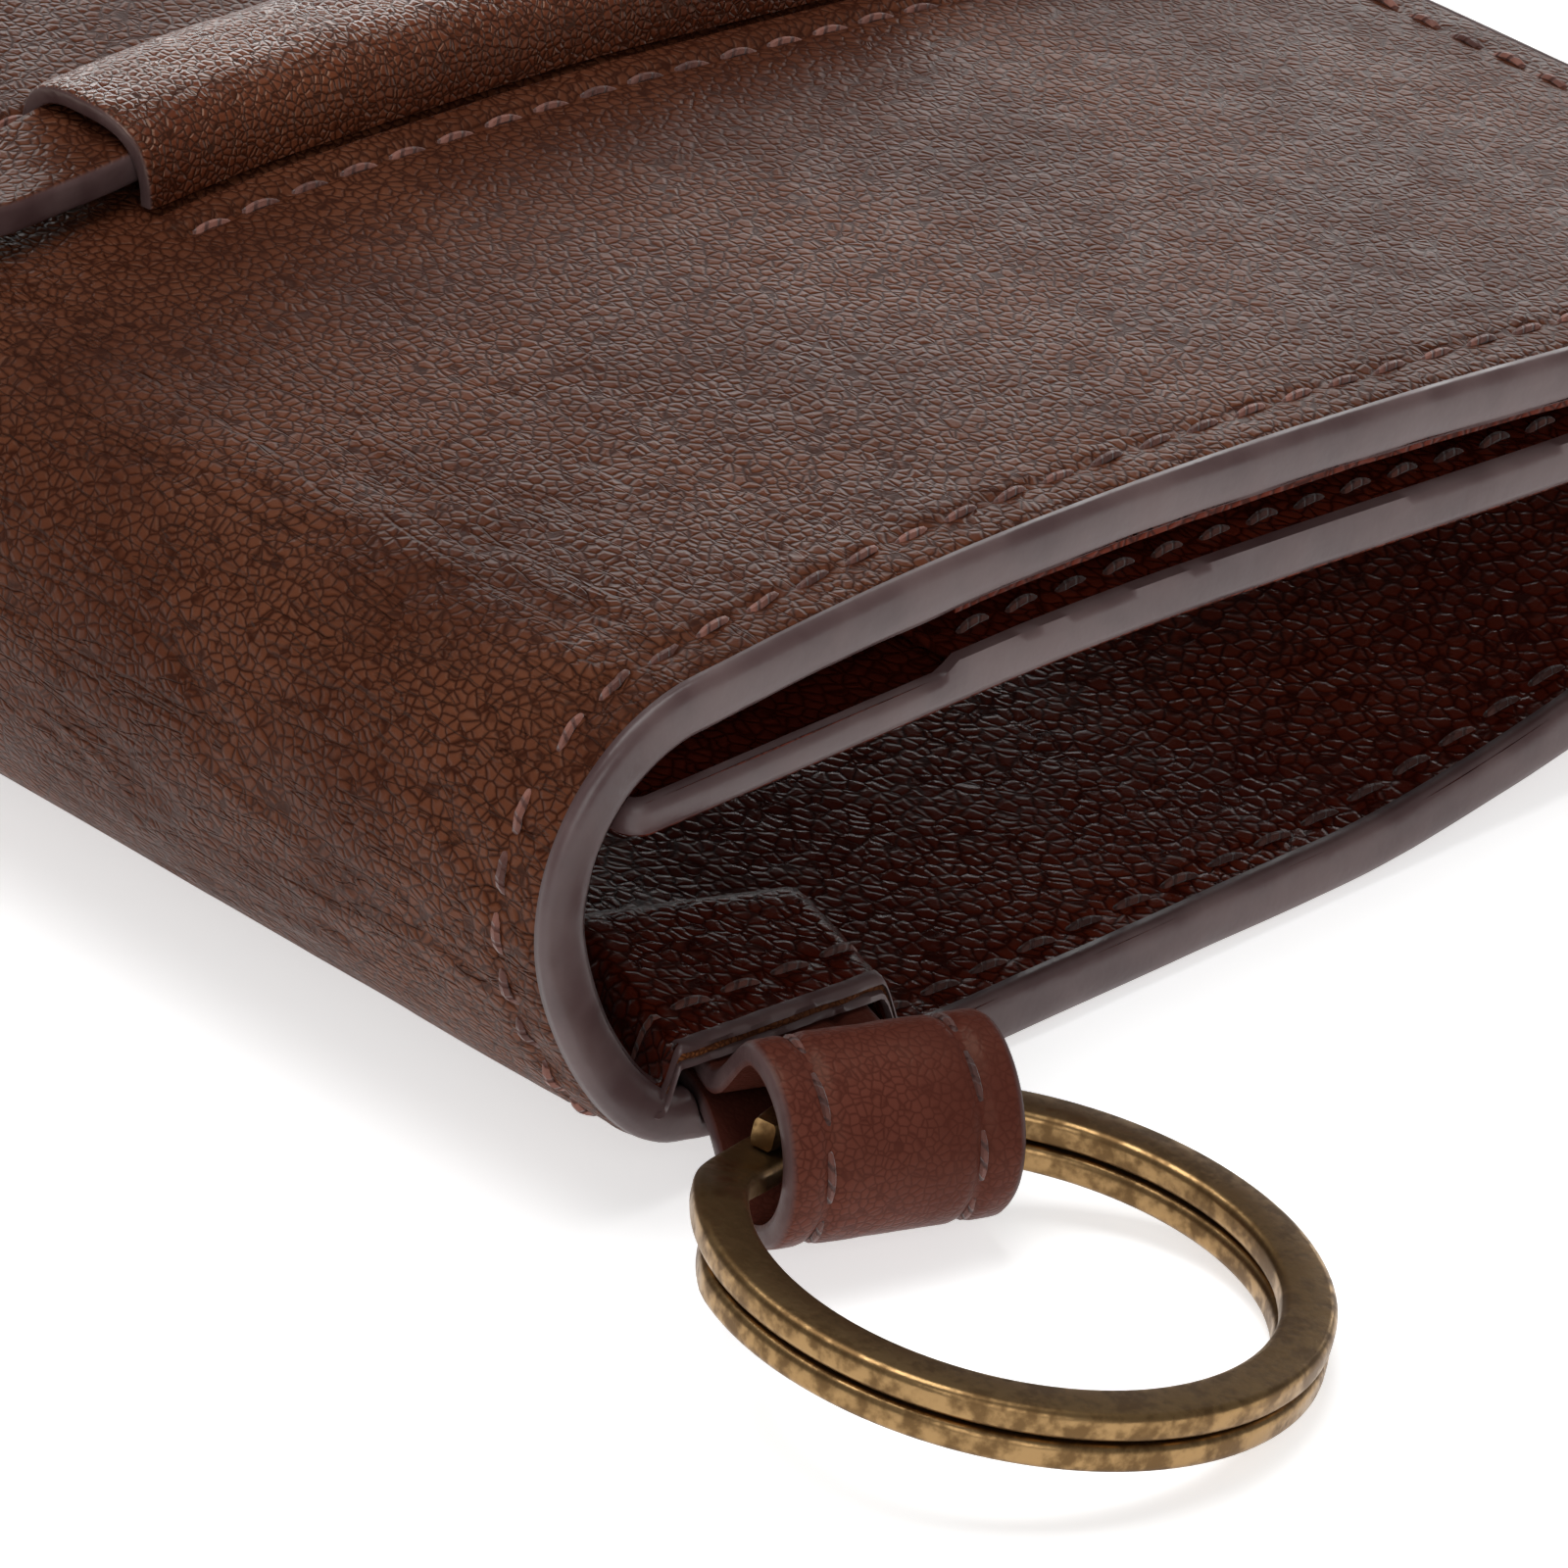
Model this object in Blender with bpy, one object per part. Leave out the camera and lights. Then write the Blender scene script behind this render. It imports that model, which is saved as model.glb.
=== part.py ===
"""Bifold leather business card case with a closing strap and a split ring.

Run with: blender --background --python part.py
Frame: +X from the spine to the open side, +Y from the ring end to the far end, +Z up.
The origin is on the flat of the back cover, where the case rests on a table.
"""

import math

import bpy
from mathutils import Matrix, Vector

MM = 0.001

# ---- driving dimensions -------------------------------------------------------------
# The closed case
CASE_LENGTH = 96.0 * MM  # along the spine
CASE_WIDTH = 79.5 * MM  # spine to open side
CLOSED_HEIGHT = 22.9 * MM  # at the crest of the front cover
OPEN_TOP_HEIGHT = 16.6 * MM  # outer face of the front cover at the open side
OPEN_BOTTOM_HEIGHT = 8.3 * MM  # outer face of the back cover at the open side
CORNER_RADIUS = 6.0 * MM  # plan corners at the open side

# Its outline, seen from the ring end
REST_FACE_X = 34.0 * MM  # origin's distance from the spine
BELLY_START = 22.0 * MM  # the back cover is flat from here
RISE_RUN = 36.5 * MM  # the back cover rises over this much of its open side
SPINE_FOOT_X = 7.0 * MM  # where the spine meets the back cover
SPINE_FOOT_Z = 2.0 * MM
SPINE_RADIUS = 8.9 * MM  # upper half of the spine
SHOULDER_DROP = 0.6 * MM  # crest to the start of the upper spine
CREST_X = 22.7 * MM
BOTTOM_CURVE = 1.5  # powers of the two covers' curves
TOP_CURVE = 1.7

# Leathers and thread
OUTER_LEATHER = 0.9 * MM
LINING_LEATHER = 0.7 * MM
TAB_LEATHER = 1.0 * MM
KEEPER_LEATHER = 0.9 * MM
STRAP_LEATHER = 0.7 * MM
GUSSET_LEATHER = 0.5 * MM
PANEL_LEATHER = 1.0 * MM
THREAD = 0.35 * MM
STITCH_INSET = 2.6 * MM  # seam to edge

# Clearances
LAY_GAP = 0.3 * MM  # between pieces that touch
STRAP_PLY_GAP = 0.15 * MM
THREAD_GAP = 0.12 * MM

# Keeper and closing strap
KEEPER_START = 17.0 * MM  # from the spine
KEEPER_TO_OPEN_SIDE = 19.5 * MM
KEEPER_SPAN = 8.6 * MM  # across, foot to foot
KEEPER_ROOM = 0.45 * MM  # strap to keeper, on each side
KEEPER_STITCH_OFFSET = 2.2 * MM  # foot to seam
KEEPER_ROUND_SHARE = 0.62  # of its height, in its two shoulders
STRAP_TAIL_X = 8.5 * MM
STRAP_ROOT_LENGTH = 19.0 * MM
STRAP_CORNER_RADIUS = 2.6 * MM  # its outer face, round the open side
STRAP_STAND_OFF = 1.2 * MM  # open edges to the strap
STRAP_STITCH_INSET = 1.2 * MM

# Card pocket
PANEL_START = 4.8 * MM  # its mouth, from the spine
PANEL_END_INSET = 3.5 * MM  # its sewn end, from the open side
PANEL_DEPTH = 6.4 * MM  # crest of the front cover to the panel's outer face
PANEL_CORNER_RADIUS = 2.0 * MM
GUSSET_START = 18.5 * MM
GUSSET_END_INSET = 11.0 * MM  # from the panel's sewn end
GUSSET_FOLD = 5.0 * MM
GUSSET_FLAT_SHARE = 0.7  # of the fold, before it turns back

# Ring tab and split ring
TAB_X = 12.3 * MM  # where the tab leaves the edge
TAB_SKEW = math.radians(18.0)  # turned towards the spine
TAB_TILT = math.radians(4.5)  # open side lower
TAB_ROOT_WIDTH = 8.0 * MM
TAB_NOSE_WIDTH = 9.8 * MM
TAB_ROOT_LENGTH = 9.0 * MM
TAB_FLARE_START = 1.6 * MM  # out from the edge, where its plies part
TAB_ROOT_Z = 3.2 * MM  # middle of its lower ply
TAB_STITCH_INSET = 1.7 * MM
SWELL_SIDE = 2.2 * MM  # how far the lining stands up past the tab
SWELL_END = 2.6 * MM
SWELL_SLOPE = 1.2 * MM
PIVOT_OUT = 7.25 * MM  # the ring's axis, out from the edge
PIVOT_Z = 4.75 * MM
RING_DIAMETER = 25.0 * MM
RING_WIRE_WIDTH = 2.2 * MM
RING_WIRE_HEIGHT = 1.2 * MM
RING_COIL_GAP = 0.14 * MM
RING_SEAT = 0.4 * MM  # wire's middle behind the pivot, half its bow in the tab
RING_ROOM = 1.3 * MM
RING_DROOP = math.radians(4.0)
RING_ROLL = math.radians(11.0)
RING_YAW = math.radians(7.0)  # back towards the open side
RING_RISE_ANGLE = math.radians(34.0)  # over which the wire steps to its second coil
RING_JOG_ANGLE = math.radians(-45.0)  # where it steps, round from the tab
RING_CHAMFER_SHARE = 0.22  # of the wire's height
RING_TIP_ANGLE = math.radians(17.0)  # over which each end of the wire narrows
RING_TIP_SHARE = 0.45  # of the wire's width, left at its tips

SPINE_STEPS = 7
NOSE_STEPS = 12
RING_STEPS = 44

# ---- derived sizes ------------------------------------------------------------------
COVER_THICKNESS = OUTER_LEATHER + LAY_GAP + LINING_LEATHER
BELLY_END = CASE_WIDTH - RISE_RUN
SHOULDER_Z = CLOSED_HEIGHT - SHOULDER_DROP
SPINE_MID_Z = SHOULDER_Z - SPINE_RADIUS
KEEPER_END = CASE_WIDTH - KEEPER_TO_OPEN_SIDE
KEEPER_Y = CASE_LENGTH / 2
STRAP_LIFT = THREAD_GAP + THREAD + LAY_GAP
STRAP_THICKNESS = 2 * STRAP_LEATHER + STRAP_PLY_GAP
STRAP_WIDTH = KEEPER_SPAN - 2 * (KEEPER_LEATHER + KEEPER_ROOM)
KEEPER_HEIGHT = STRAP_LIFT + STRAP_THICKNESS + KEEPER_ROOM + KEEPER_LEATHER
PANEL_END = CASE_WIDTH - PANEL_END_INSET
RING_RADIUS = (RING_DIAMETER - RING_WIRE_WIDTH) / 2
TAB_LOOP_RADIUS = (
    math.hypot(RING_SEAT + RING_WIRE_WIDTH / 2, RING_WIRE_HEIGHT + RING_COIL_GAP / 2)
    + RING_ROOM
    + TAB_LEATHER / 2
)

COLOURS = {
    "outer_leather": ((0.125, 0.060, 0.042), 0.45, 0.0),
    "lining_leather": ((0.050, 0.016, 0.011), 0.30, 0.0),
    "tab_leather": ((0.130, 0.045, 0.034), 0.45, 0.0),
    "thread": ((0.200, 0.090, 0.070), 0.70, 0.0),
    "antique_brass": ((0.230, 0.155, 0.070), 0.35, 1.0),
}


# ---- scene helpers ------------------------------------------------------------------
def clear_scene():
    for obj in list(bpy.data.objects):
        bpy.data.objects.remove(obj, do_unlink=True)


def make_material(name, colour, roughness, metallic):
    material = bpy.data.materials.new(name)
    material.use_nodes = True
    shader = material.node_tree.nodes["Principled BSDF"]
    shader.inputs["Base Color"].default_value = (*colour, 1.0)
    shader.inputs["Roughness"].default_value = roughness
    shader.inputs["Metallic"].default_value = metallic
    return material


def place(x, y, z):
    """A point measured from the spine and the ring end, in the object's own frame."""
    return Vector((x - REST_FACE_X, y - CASE_LENGTH / 2, z))


def make_joint(name, point, parent=None):
    """An empty on a joint's axis. What it carries is its child."""
    empty = bpy.data.objects.new(name, None)
    bpy.context.scene.collection.objects.link(empty)
    origin = parent["origin"] if parent else Vector((0, 0, 0))
    empty.parent = parent["empty"] if parent else None
    empty.location = point - origin
    return {"empty": empty, "origin": point}


def attach(obj, slot, joint):
    bpy.context.scene.collection.objects.link(obj)
    obj.data.materials.append(MATERIALS[slot])
    if joint:
        obj.parent = joint["empty"]


def make_node(name, points, faces, slot, joint=None):
    origin = joint["origin"] if joint else Vector((0, 0, 0))
    mesh = bpy.data.meshes.new(name)
    mesh.from_pydata([p - origin for p in points], [], faces)
    attach(bpy.data.objects.new(name, mesh), slot, joint)
    return bpy.data.objects[name]


def make_thread(name, points, joint=None, closed=False):
    """A sewing thread laid along a path."""
    origin = joint["origin"] if joint else Vector((0, 0, 0))
    curve = bpy.data.curves.new(name, "CURVE")
    curve.dimensions = "3D"
    curve.bevel_depth = THREAD / 2
    curve.bevel_resolution = 0
    curve.use_fill_caps = not closed
    spline = curve.splines.new("POLY")
    spline.points.add(len(points) - 1)
    for spot, point in zip(spline.points, points):
        spot.co = (*(point - origin), 1.0)
    spline.use_cyclic_u = closed
    attach(bpy.data.objects.new(name, curve), "thread", joint)


# ---- the closed case's outline ------------------------------------------------------
def top_z(x):
    """Outer face of the front cover."""
    if x < CREST_X:
        run = (CREST_X - x) / (CREST_X - SPINE_RADIUS)
        return CLOSED_HEIGHT - SHOULDER_DROP * run**2
    run = (x - CREST_X) / (CASE_WIDTH - CREST_X)
    return CLOSED_HEIGHT - (CLOSED_HEIGHT - OPEN_TOP_HEIGHT) * run**TOP_CURVE


def bottom_z(x):
    """Outer face of the back cover."""
    if x < BELLY_START:
        run = (BELLY_START - x) / (BELLY_START - SPINE_FOOT_X)
        return SPINE_FOOT_Z * run**BOTTOM_CURVE
    if x > BELLY_END:
        return OPEN_BOTTOM_HEIGHT * ((x - BELLY_END) / RISE_RUN) ** BOTTOM_CURVE
    return 0.0


def spread(start, end, count):
    return [start + (end - start) * i / count for i in range(count + 1)]


def corner_stations(end, radius, count=5):
    """Distances from the spine round a plan corner, ending at the edge."""
    turns = spread(0, math.pi / 2, count)
    return [end - radius + radius * math.sin(a) for a in turns]


def corner_inset(x, end, radius):
    """How far a rounded plan corner draws the ends in at x."""
    past = max(0.0, x - end + radius)
    return radius - math.sqrt(max(0.0, radius**2 - past**2))


def cover_stations(start):
    straight = CASE_WIDTH - CORNER_RADIUS
    rise = spread(BELLY_END, straight, 6)[:-1]
    return start + rise + corner_stations(CASE_WIDTH, CORNER_RADIUS)


def directed(points, first=None, last=None):
    """Each point with the outline's direction there, given at an end or from the points."""
    outline = []
    for i, (x, z) in enumerate(points):
        before = points[max(0, i - 1)]
        after = points[min(len(points) - 1, i + 1)]
        outline.append((x, z, math.atan2(after[1] - before[1], after[0] - before[0])))
    if first is not None:
        outline[0] = (*points[0], first)
    if last is not None:
        outline[-1] = (*points[-1], last)
    return outline


def foot_direction():
    """Along the back cover at the foot of the spine, away from the spine."""
    return -math.atan(BOTTOM_CURVE * SPINE_FOOT_Z / (BELLY_START - SPINE_FOOT_X))


def shoulder_direction():
    """Along the front cover at its start, away from the spine."""
    return math.atan(2 * SHOULDER_DROP / (CREST_X - SPINE_RADIUS))


def beside(x, z, direction, distance=LAY_GAP / 2):
    """A point that far along an outline's direction."""
    return x + distance * math.cos(direction), z + distance * math.sin(direction)


def back_outline():
    start = beside(SPINE_FOOT_X, SPINE_FOOT_Z, foot_direction())
    past_tab = TAB_X + 1.1 * TAB_ROOT_WIDTH
    near_spine = spread(start[0], past_tab, 18)
    points = [(x, bottom_z(x)) for x in cover_stations(near_spine)]
    return directed([start] + points[1:], first=foot_direction())


def front_outline():
    start = beside(SPINE_RADIUS, SHOULDER_Z, shoulder_direction())
    stations = spread(start[0], CREST_X, 4) + spread(CREST_X, BELLY_END, 5)[1:-1]
    points = [(x, top_z(x)) for x in cover_stations(stations)]
    return directed([start] + points[1:], first=shoulder_direction())


def lower_spine_outline():
    """From the foot of the spine up to its outermost line, a cubic curve."""
    foot = foot_direction() + math.pi
    start = beside(SPINE_FOOT_X, SPINE_FOOT_Z, foot)
    end = (0.0, SPINE_MID_Z - LAY_GAP / 2)
    low = beside(*start, foot, 0.54 * SPINE_FOOT_X)
    high = (0.0, SPINE_MID_Z - 0.33 * (SPINE_MID_Z - SPINE_FOOT_Z))
    points = []
    for t in spread(0, 1, SPINE_STEPS):
        s = 1 - t
        weights = s**3, 3 * s * s * t, 3 * s * t * t, t**3
        corners = start, low, high, end
        points.append(tuple(sum(w * p[i] for w, p in zip(weights, corners)) for i in (0, 1)))
    return directed(points, foot, math.pi / 2)


def upper_spine_outline():
    """A quarter of a circle, from the outermost line to the front cover."""
    last = shoulder_direction()
    points = [
        (SPINE_RADIUS * (1 - math.cos(a)), SPINE_MID_Z + SPINE_RADIUS * math.sin(a))
        for a in spread(0, math.pi / 2 - last, SPINE_STEPS)
    ]
    points[0] = (0.0, SPINE_MID_Z + LAY_GAP / 2)
    points[-1] = beside(SPINE_RADIUS, SHOULDER_Z, last + math.pi)
    return directed(points, math.pi / 2, last)


def offset(outline, distance):
    """The outline moved to its left by distance, each point along its own normal."""
    return [
        (x - math.sin(direction) * distance, z + math.cos(direction) * distance)
        for x, z, direction in outline
    ]


# ---- leather sheets -----------------------------------------------------------------
def flat_spread(x):
    return 0.0, CASE_LENGTH


def cover_spread(x):
    inset = corner_inset(x, CASE_WIDTH, CORNER_RADIUS)
    return inset, CASE_LENGTH - inset


def sheet(name, outline, near, thickness, slot, joint, ends=flat_spread, across=(0, 1), lift=None):
    """Leather that follows an outline, between near and near + thickness from it.

    ends(x) gives its two ends along the spine, across the shares between them where it
    has points, and lift(x, y) how far it is raised.
    """
    sides = [offset(outline, near), offset(outline, near + thickness)]
    points = []
    for side in sides:
        for (x, z), (station, *_) in zip(side, outline):
            low, high = ends(station)
            for share in across:
                y = low + (high - low) * share
                rise = lift(station, y) if lift else 0.0
                points.append(place(x, y, z + rise))
    rows, columns = len(outline), len(across)
    layer = rows * columns

    def corner(side, row, column):
        return side * layer + row * columns + column

    faces = []
    for row in range(rows - 1):
        for column in range(columns - 1):
            loop = (row, column), (row + 1, column), (row + 1, column + 1), (row, column + 1)
            faces.append([corner(0, *at) for at in reversed(loop)])
            faces.append([corner(1, *at) for at in loop])
    rim = [(row, 0) for row in range(rows)]
    rim += [(rows - 1, column) for column in range(1, columns)]
    rim += [(row, columns - 1) for row in range(rows - 2, -1, -1)]
    rim += [(0, column) for column in range(columns - 2, 0, -1)]
    for here, then in zip(rim, rim[1:] + rim[:1]):
        faces.append([corner(0, *here), corner(0, *then), corner(1, *then), corner(1, *here)])
    if thickness < 0:
        faces = [face[::-1] for face in faces]
    return make_node(name, points, faces, slot, joint)


def loft(name, sections, slot, joint=None):
    """A solid through closed sections that all have the same number of points."""
    count = len(sections[0])
    points = [point for section in sections for point in section]
    faces = []
    for i in range(len(sections) - 1):
        for j in range(count):
            k = (j + 1) % count
            low, high = i * count, (i + 1) * count
            faces.append([low + j, low + k, high + k, high + j])
    faces.append(list(range(count))[::-1])
    faces.append([len(points) - count + j for j in range(count)])
    return make_node(name, points, faces, slot, joint)


# ---- ring tab -----------------------------------------------------------------------
def tab_frame():
    """The tab's own axes: X across it, Y out of the case, Z up, at the edge."""
    turn = Matrix.Rotation(-TAB_SKEW, 4, "Z")
    flip = Matrix.Scale(-1, 4, (0, 1, 0))
    roll = Matrix.Rotation(TAB_TILT, 4, "Y")
    return Matrix.Translation(place(TAB_X, 0, 0)) @ turn @ flip @ roll


def tab_half_width(out):
    share = min(1.0, max(0.0, out / PIVOT_OUT))
    return (TAB_ROOT_WIDTH + (TAB_NOSE_WIDTH - TAB_ROOT_WIDTH) * share) / 2


def ease(share):
    share = min(1.0, max(0.0, share))
    return share * share * (3 - 2 * share)


def tab_path():
    """The strip's middle line (out, up): lower ply, round the ring, upper ply."""
    radius = TAB_LOOP_RADIUS
    lower_z = TAB_ROOT_Z
    upper_z = TAB_ROOT_Z + TAB_LEATHER + LAY_GAP
    flare = spread(TAB_FLARE_START, PIVOT_OUT, 5)
    shares = [ease(i / 5) for i in range(6)]
    belly = [
        (out, lower_z + (PIVOT_Z - radius - lower_z) * share)
        for out, share in zip(flare[:-1], shares)
    ]
    nose = [
        (PIVOT_OUT + radius * math.sin(a), PIVOT_Z - radius * math.cos(a))
        for a in spread(0, math.pi, NOSE_STEPS)
    ]
    back = [
        (out, upper_z + (PIVOT_Z + radius - upper_z) * share)
        for out, share in zip(flare[:-1], shares)
    ][::-1]
    root = (-TAB_ROOT_LENGTH, lower_z), (-TAB_ROOT_LENGTH, upper_z)
    return directed([root[0]] + belly + nose + back + [root[1]])


def make_ring_tab():
    frame = tab_frame()
    path = tab_path()
    faces_of_path = offset(path, -TAB_LEATHER / 2), offset(path, TAB_LEATHER / 2)
    sections = []
    for (out, *_), outside, inside in zip(path, *faces_of_path):
        half = tab_half_width(out)
        corners = (-half, *outside), (half, *outside), (half, *inside), (-half, *inside)
        sections.append([frame @ Vector(corner) for corner in corners])
    loft("ring_tab", sections, "tab_leather")

    seam = offset(path, -TAB_LEATHER / 2 - THREAD_GAP - THREAD / 2)
    stitched = [(out, up) for out, up in seam if out > 0 and up > PIVOT_Z - TAB_LOOP_RADIUS / 2]
    for name, side in (("tab_thread_spine_side", -1), ("tab_thread_open_side", 1)):
        points = [
            frame @ Vector((side * (tab_half_width(out) - TAB_STITCH_INSET), out, up))
            for out, up in stitched
        ]
        make_thread(name, points)


def lining_lift(x, y):
    """The lining rises over the two plies of the tab that are sewn in under it."""
    at = tab_frame().inverted() @ place(x, y, 0)
    tab_top = TAB_ROOT_Z + 1.5 * TAB_LEATHER + LAY_GAP - at.x * math.sin(TAB_TILT)
    needed = tab_top + LAY_GAP - bottom_z(x) - OUTER_LEATHER - LAY_GAP
    sideways = ease((TAB_ROOT_WIDTH / 2 + SWELL_SIDE - abs(at.x)) / SWELL_SLOPE)
    inwards = ease((TAB_ROOT_LENGTH + SWELL_END + at.y) / SWELL_SLOPE)
    return needed * sideways * inwards


# ---- covers and spine ---------------------------------------------------------------
def make_cover_layers(name, outline, direction, joint, ends, across=(0, 1), lift=None):
    """Outer leather on the outline and the lining behind it."""
    sheet(name + "_outer", outline, 0.0, direction * OUTER_LEATHER, "outer_leather", joint, ends)
    behind = direction * (OUTER_LEATHER + LAY_GAP)
    thickness = direction * LINING_LEATHER
    sheet(name + "_lining", outline, behind, thickness, "lining_leather", joint, ends, across, lift)


def height_on(line, x):
    """Height of an outline at x, straight between its points."""
    for (x0, z0), (x1, z1) in zip(line, line[1:]):
        if x0 <= x <= x1:
            return z0 + (z1 - z0) * (x - x0) / (x1 - x0)
    return line[0][1] if x < line[0][0] else line[-1][1]


def seam_path(line, start):
    """Round the edge of a cover, STITCH_INSET in: ring end, open side, far end."""
    straight = CASE_WIDTH - CORNER_RADIUS
    radius = CORNER_RADIUS - STITCH_INSET
    near = [(x, STITCH_INSET) for x, _ in line if start < x < straight]
    near += [
        (straight + radius * math.sin(a), CORNER_RADIUS - radius * math.cos(a))
        for a in spread(0, math.pi / 2, 4)
    ]
    far = [(x, CASE_LENGTH - y) for x, y in reversed(near)]
    return [place(x, y, height_on(line, x)) for x, y in near + far]


def make_back_cover():
    swell = (TAB_ROOT_LENGTH + SWELL_END + SWELL_SLOPE) / CASE_LENGTH
    lining_across = spread(0, swell, 9) + [0.6, 1]
    outline = back_outline()
    make_cover_layers("back", outline, 1, None, cover_spread, lining_across, lining_lift)
    seam = offset(outline, COVER_THICKNESS + THREAD_GAP + THREAD / 2)
    make_thread("back_edge_thread", seam_path(seam, TAB_X + TAB_ROOT_WIDTH))


def trimmed(path, by):
    """A path with both of its ends drawn in along their own segments."""
    ends = []
    for end, beyond in ((path[0], path[1]), (path[-1], path[-2])):
        share = by / math.dist(end, beyond)
        ends.append(tuple(a + (b - a) * share for a, b in zip(end, beyond)))
    return [ends[0], *path[1:-1], ends[1]]


def make_spine(joints):
    halves = ("spine_lower", lower_spine_outline()), ("spine_upper", upper_spine_outline())
    for name, outline in halves:
        joint = joints[name]
        make_cover_layers(name, outline, -1, joint, flat_spread)
        path = trimmed(offset(outline, THREAD_GAP + THREAD / 2), THREAD)
        for end, y in (("near", STITCH_INSET), ("far", CASE_LENGTH - STITCH_INSET)):
            points = [place(x, y, z) for x, z in path]
            make_thread(f"{name}_thread_{end}", points, joint)


def make_front_cover(joint):
    outline = front_outline()
    make_cover_layers("front", outline, -1, joint, cover_spread)
    seam = offset(outline, THREAD_GAP + THREAD / 2)
    make_thread("front_edge_thread", seam_path(seam, 0), joint)


# ---- keeper -------------------------------------------------------------------------
def keeper_section(x):
    """An arch that stands on the front cover, as (y, z)."""
    half, inner = KEEPER_SPAN / 2, KEEPER_SPAN / 2 - KEEPER_LEATHER
    foot = top_z(x) + LAY_GAP / 2
    outside_radius = KEEPER_HEIGHT * KEEPER_ROUND_SHARE
    inside_radius = outside_radius - KEEPER_LEATHER
    roof = top_z(x) + KEEPER_HEIGHT - outside_radius
    turns = spread(0, math.pi / 2, 4)
    outside, inside = [(half, foot)], [(inner, foot)]
    for a in turns:
        outside.append((half - outside_radius * (1 - math.cos(a)), roof + outside_radius * math.sin(a)))
        inside.append((inner - inside_radius * (1 - math.cos(a)), roof + inside_radius * math.sin(a)))
    outside += [(-y, z) for y, z in reversed(outside)]
    inside += [(-y, z) for y, z in reversed(inside)]
    return [place(x, KEEPER_Y + y, z) for y, z in outside + inside[::-1]]


def make_keeper(joint):
    stations = spread(KEEPER_START, KEEPER_END, 9)
    loft("keeper", [keeper_section(x) for x in stations], "outer_leather", joint)
    seam = offset(front_outline(), THREAD_GAP + THREAD / 2)
    reach = KEEPER_SPAN / 2 + KEEPER_STITCH_OFFSET
    for end, y in (("near", KEEPER_Y - reach), ("far", KEEPER_Y + reach)):
        sewn = [KEEPER_START] + [x for x, _ in seam if KEEPER_START < x < KEEPER_END] + [KEEPER_END]
        points = [place(x, y, height_on(seam, x)) for x in sewn]
        make_thread("keeper_thread_" + end, points, joint)


# ---- card pocket --------------------------------------------------------------------
def panel_z(x):
    """Outer face of the panel, the one towards the back cover."""
    sewn = top_z(PANEL_END) - COVER_THICKNESS - LAY_GAP - PANEL_LEATHER
    free = CLOSED_HEIGHT - PANEL_DEPTH
    return free + (sewn - free) * ease((x - CREST_X) / (CASE_WIDTH - CREST_X - 2 * CORNER_RADIUS))


def panel_spread(x):
    mouth = corner_inset(PANEL_START - x, 0, PANEL_CORNER_RADIUS)
    inset = max(mouth, corner_inset(x, PANEL_END, CORNER_RADIUS - PANEL_END_INSET))
    return inset, CASE_LENGTH - inset


def make_panel(joint):
    sewn_radius = CORNER_RADIUS - PANEL_END_INSET
    mouth = corner_stations(0, PANEL_CORNER_RADIUS, 3)
    stations = [PANEL_START - x for x in reversed(mouth)]
    stations += spread(CREST_X, PANEL_END - sewn_radius, 9)[:-1]
    stations += corner_stations(PANEL_END, sewn_radius, 4)
    outline = directed([(x, panel_z(x)) for x in stations])
    sheet("pocket_panel", outline, 0.0, PANEL_LEATHER, "lining_leather", joint, panel_spread)
    drop = THREAD_GAP + THREAD
    ends = (("near", STITCH_INSET), ("far", CASE_LENGTH - STITCH_INSET))
    for end, y in ends:
        sewn = spread(GUSSET_START, PANEL_END - CORNER_RADIUS, 9)
        make_thread("pocket_thread_" + end, [place(x, y, panel_z(x) - drop) for x in sewn], joint)


def make_gussets(joint):
    """Each side of the pocket is a strip folded inwards into a V."""
    stations = spread(GUSSET_START, PANEL_END - GUSSET_END_INSET, 8)
    for end, side in (("near", 1), ("far", -1)):
        sections = []
        for x in stations:
            high = top_z(x) - COVER_THICKNESS - LAY_GAP
            low = panel_z(x) + PANEL_LEATHER + LAY_GAP
            middle = (high + low) / 2
            ply = GUSSET_LEATHER
            flat = GUSSET_FOLD * GUSSET_FLAT_SHARE
            outside = (0, high), (flat, high), (GUSSET_FOLD, middle), (flat, low), (0, low)
            inside = (0, low + ply), (flat - ply, low + ply), (GUSSET_FOLD - 1.3 * ply, middle)
            inside += (flat - ply, high - ply), (0, high - ply)
            edge = 0 if side == 1 else CASE_LENGTH
            section = [place(x, edge + side * y, z) for y, z in outside + inside]
            sections.append(section[::-side])
        loft("gusset_" + end, sections, "lining_leather", joint)


# ---- closing strap ------------------------------------------------------------------
def strap_corners():
    """Centres of the strap's two bends round the open side, as (x, z)."""
    across = CASE_WIDTH + STRAP_STAND_OFF + STRAP_THICKNESS - STRAP_CORNER_RADIUS
    low = bottom_z(CASE_WIDTH) - LAY_GAP - STRAP_THICKNESS + STRAP_CORNER_RADIUS
    high = top_z(CASE_WIDTH) + STRAP_LIFT + STRAP_THICKNESS - STRAP_CORNER_RADIUS
    return (across, low), (across, high)


def strap_bend_angles():
    """Directions of travel along the strap at its root and at its tongue."""
    fall = TOP_CURVE * (CLOSED_HEIGHT - OPEN_TOP_HEIGHT)
    root = math.atan2(BOTTOM_CURVE * OPEN_BOTTOM_HEIGHT, RISE_RUN)
    tongue = math.pi - math.atan2(fall, CASE_WIDTH - CREST_X)
    return root, tongue


def strap_turn(centre, start, end, count=4):
    """Points of the strap's outer face round a bend, from one direction to another."""
    radius = STRAP_CORNER_RADIUS
    return [
        (centre[0] + radius * math.sin(a), centre[1] - radius * math.cos(a))
        for a in spread(start, end, count)
    ]


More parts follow.
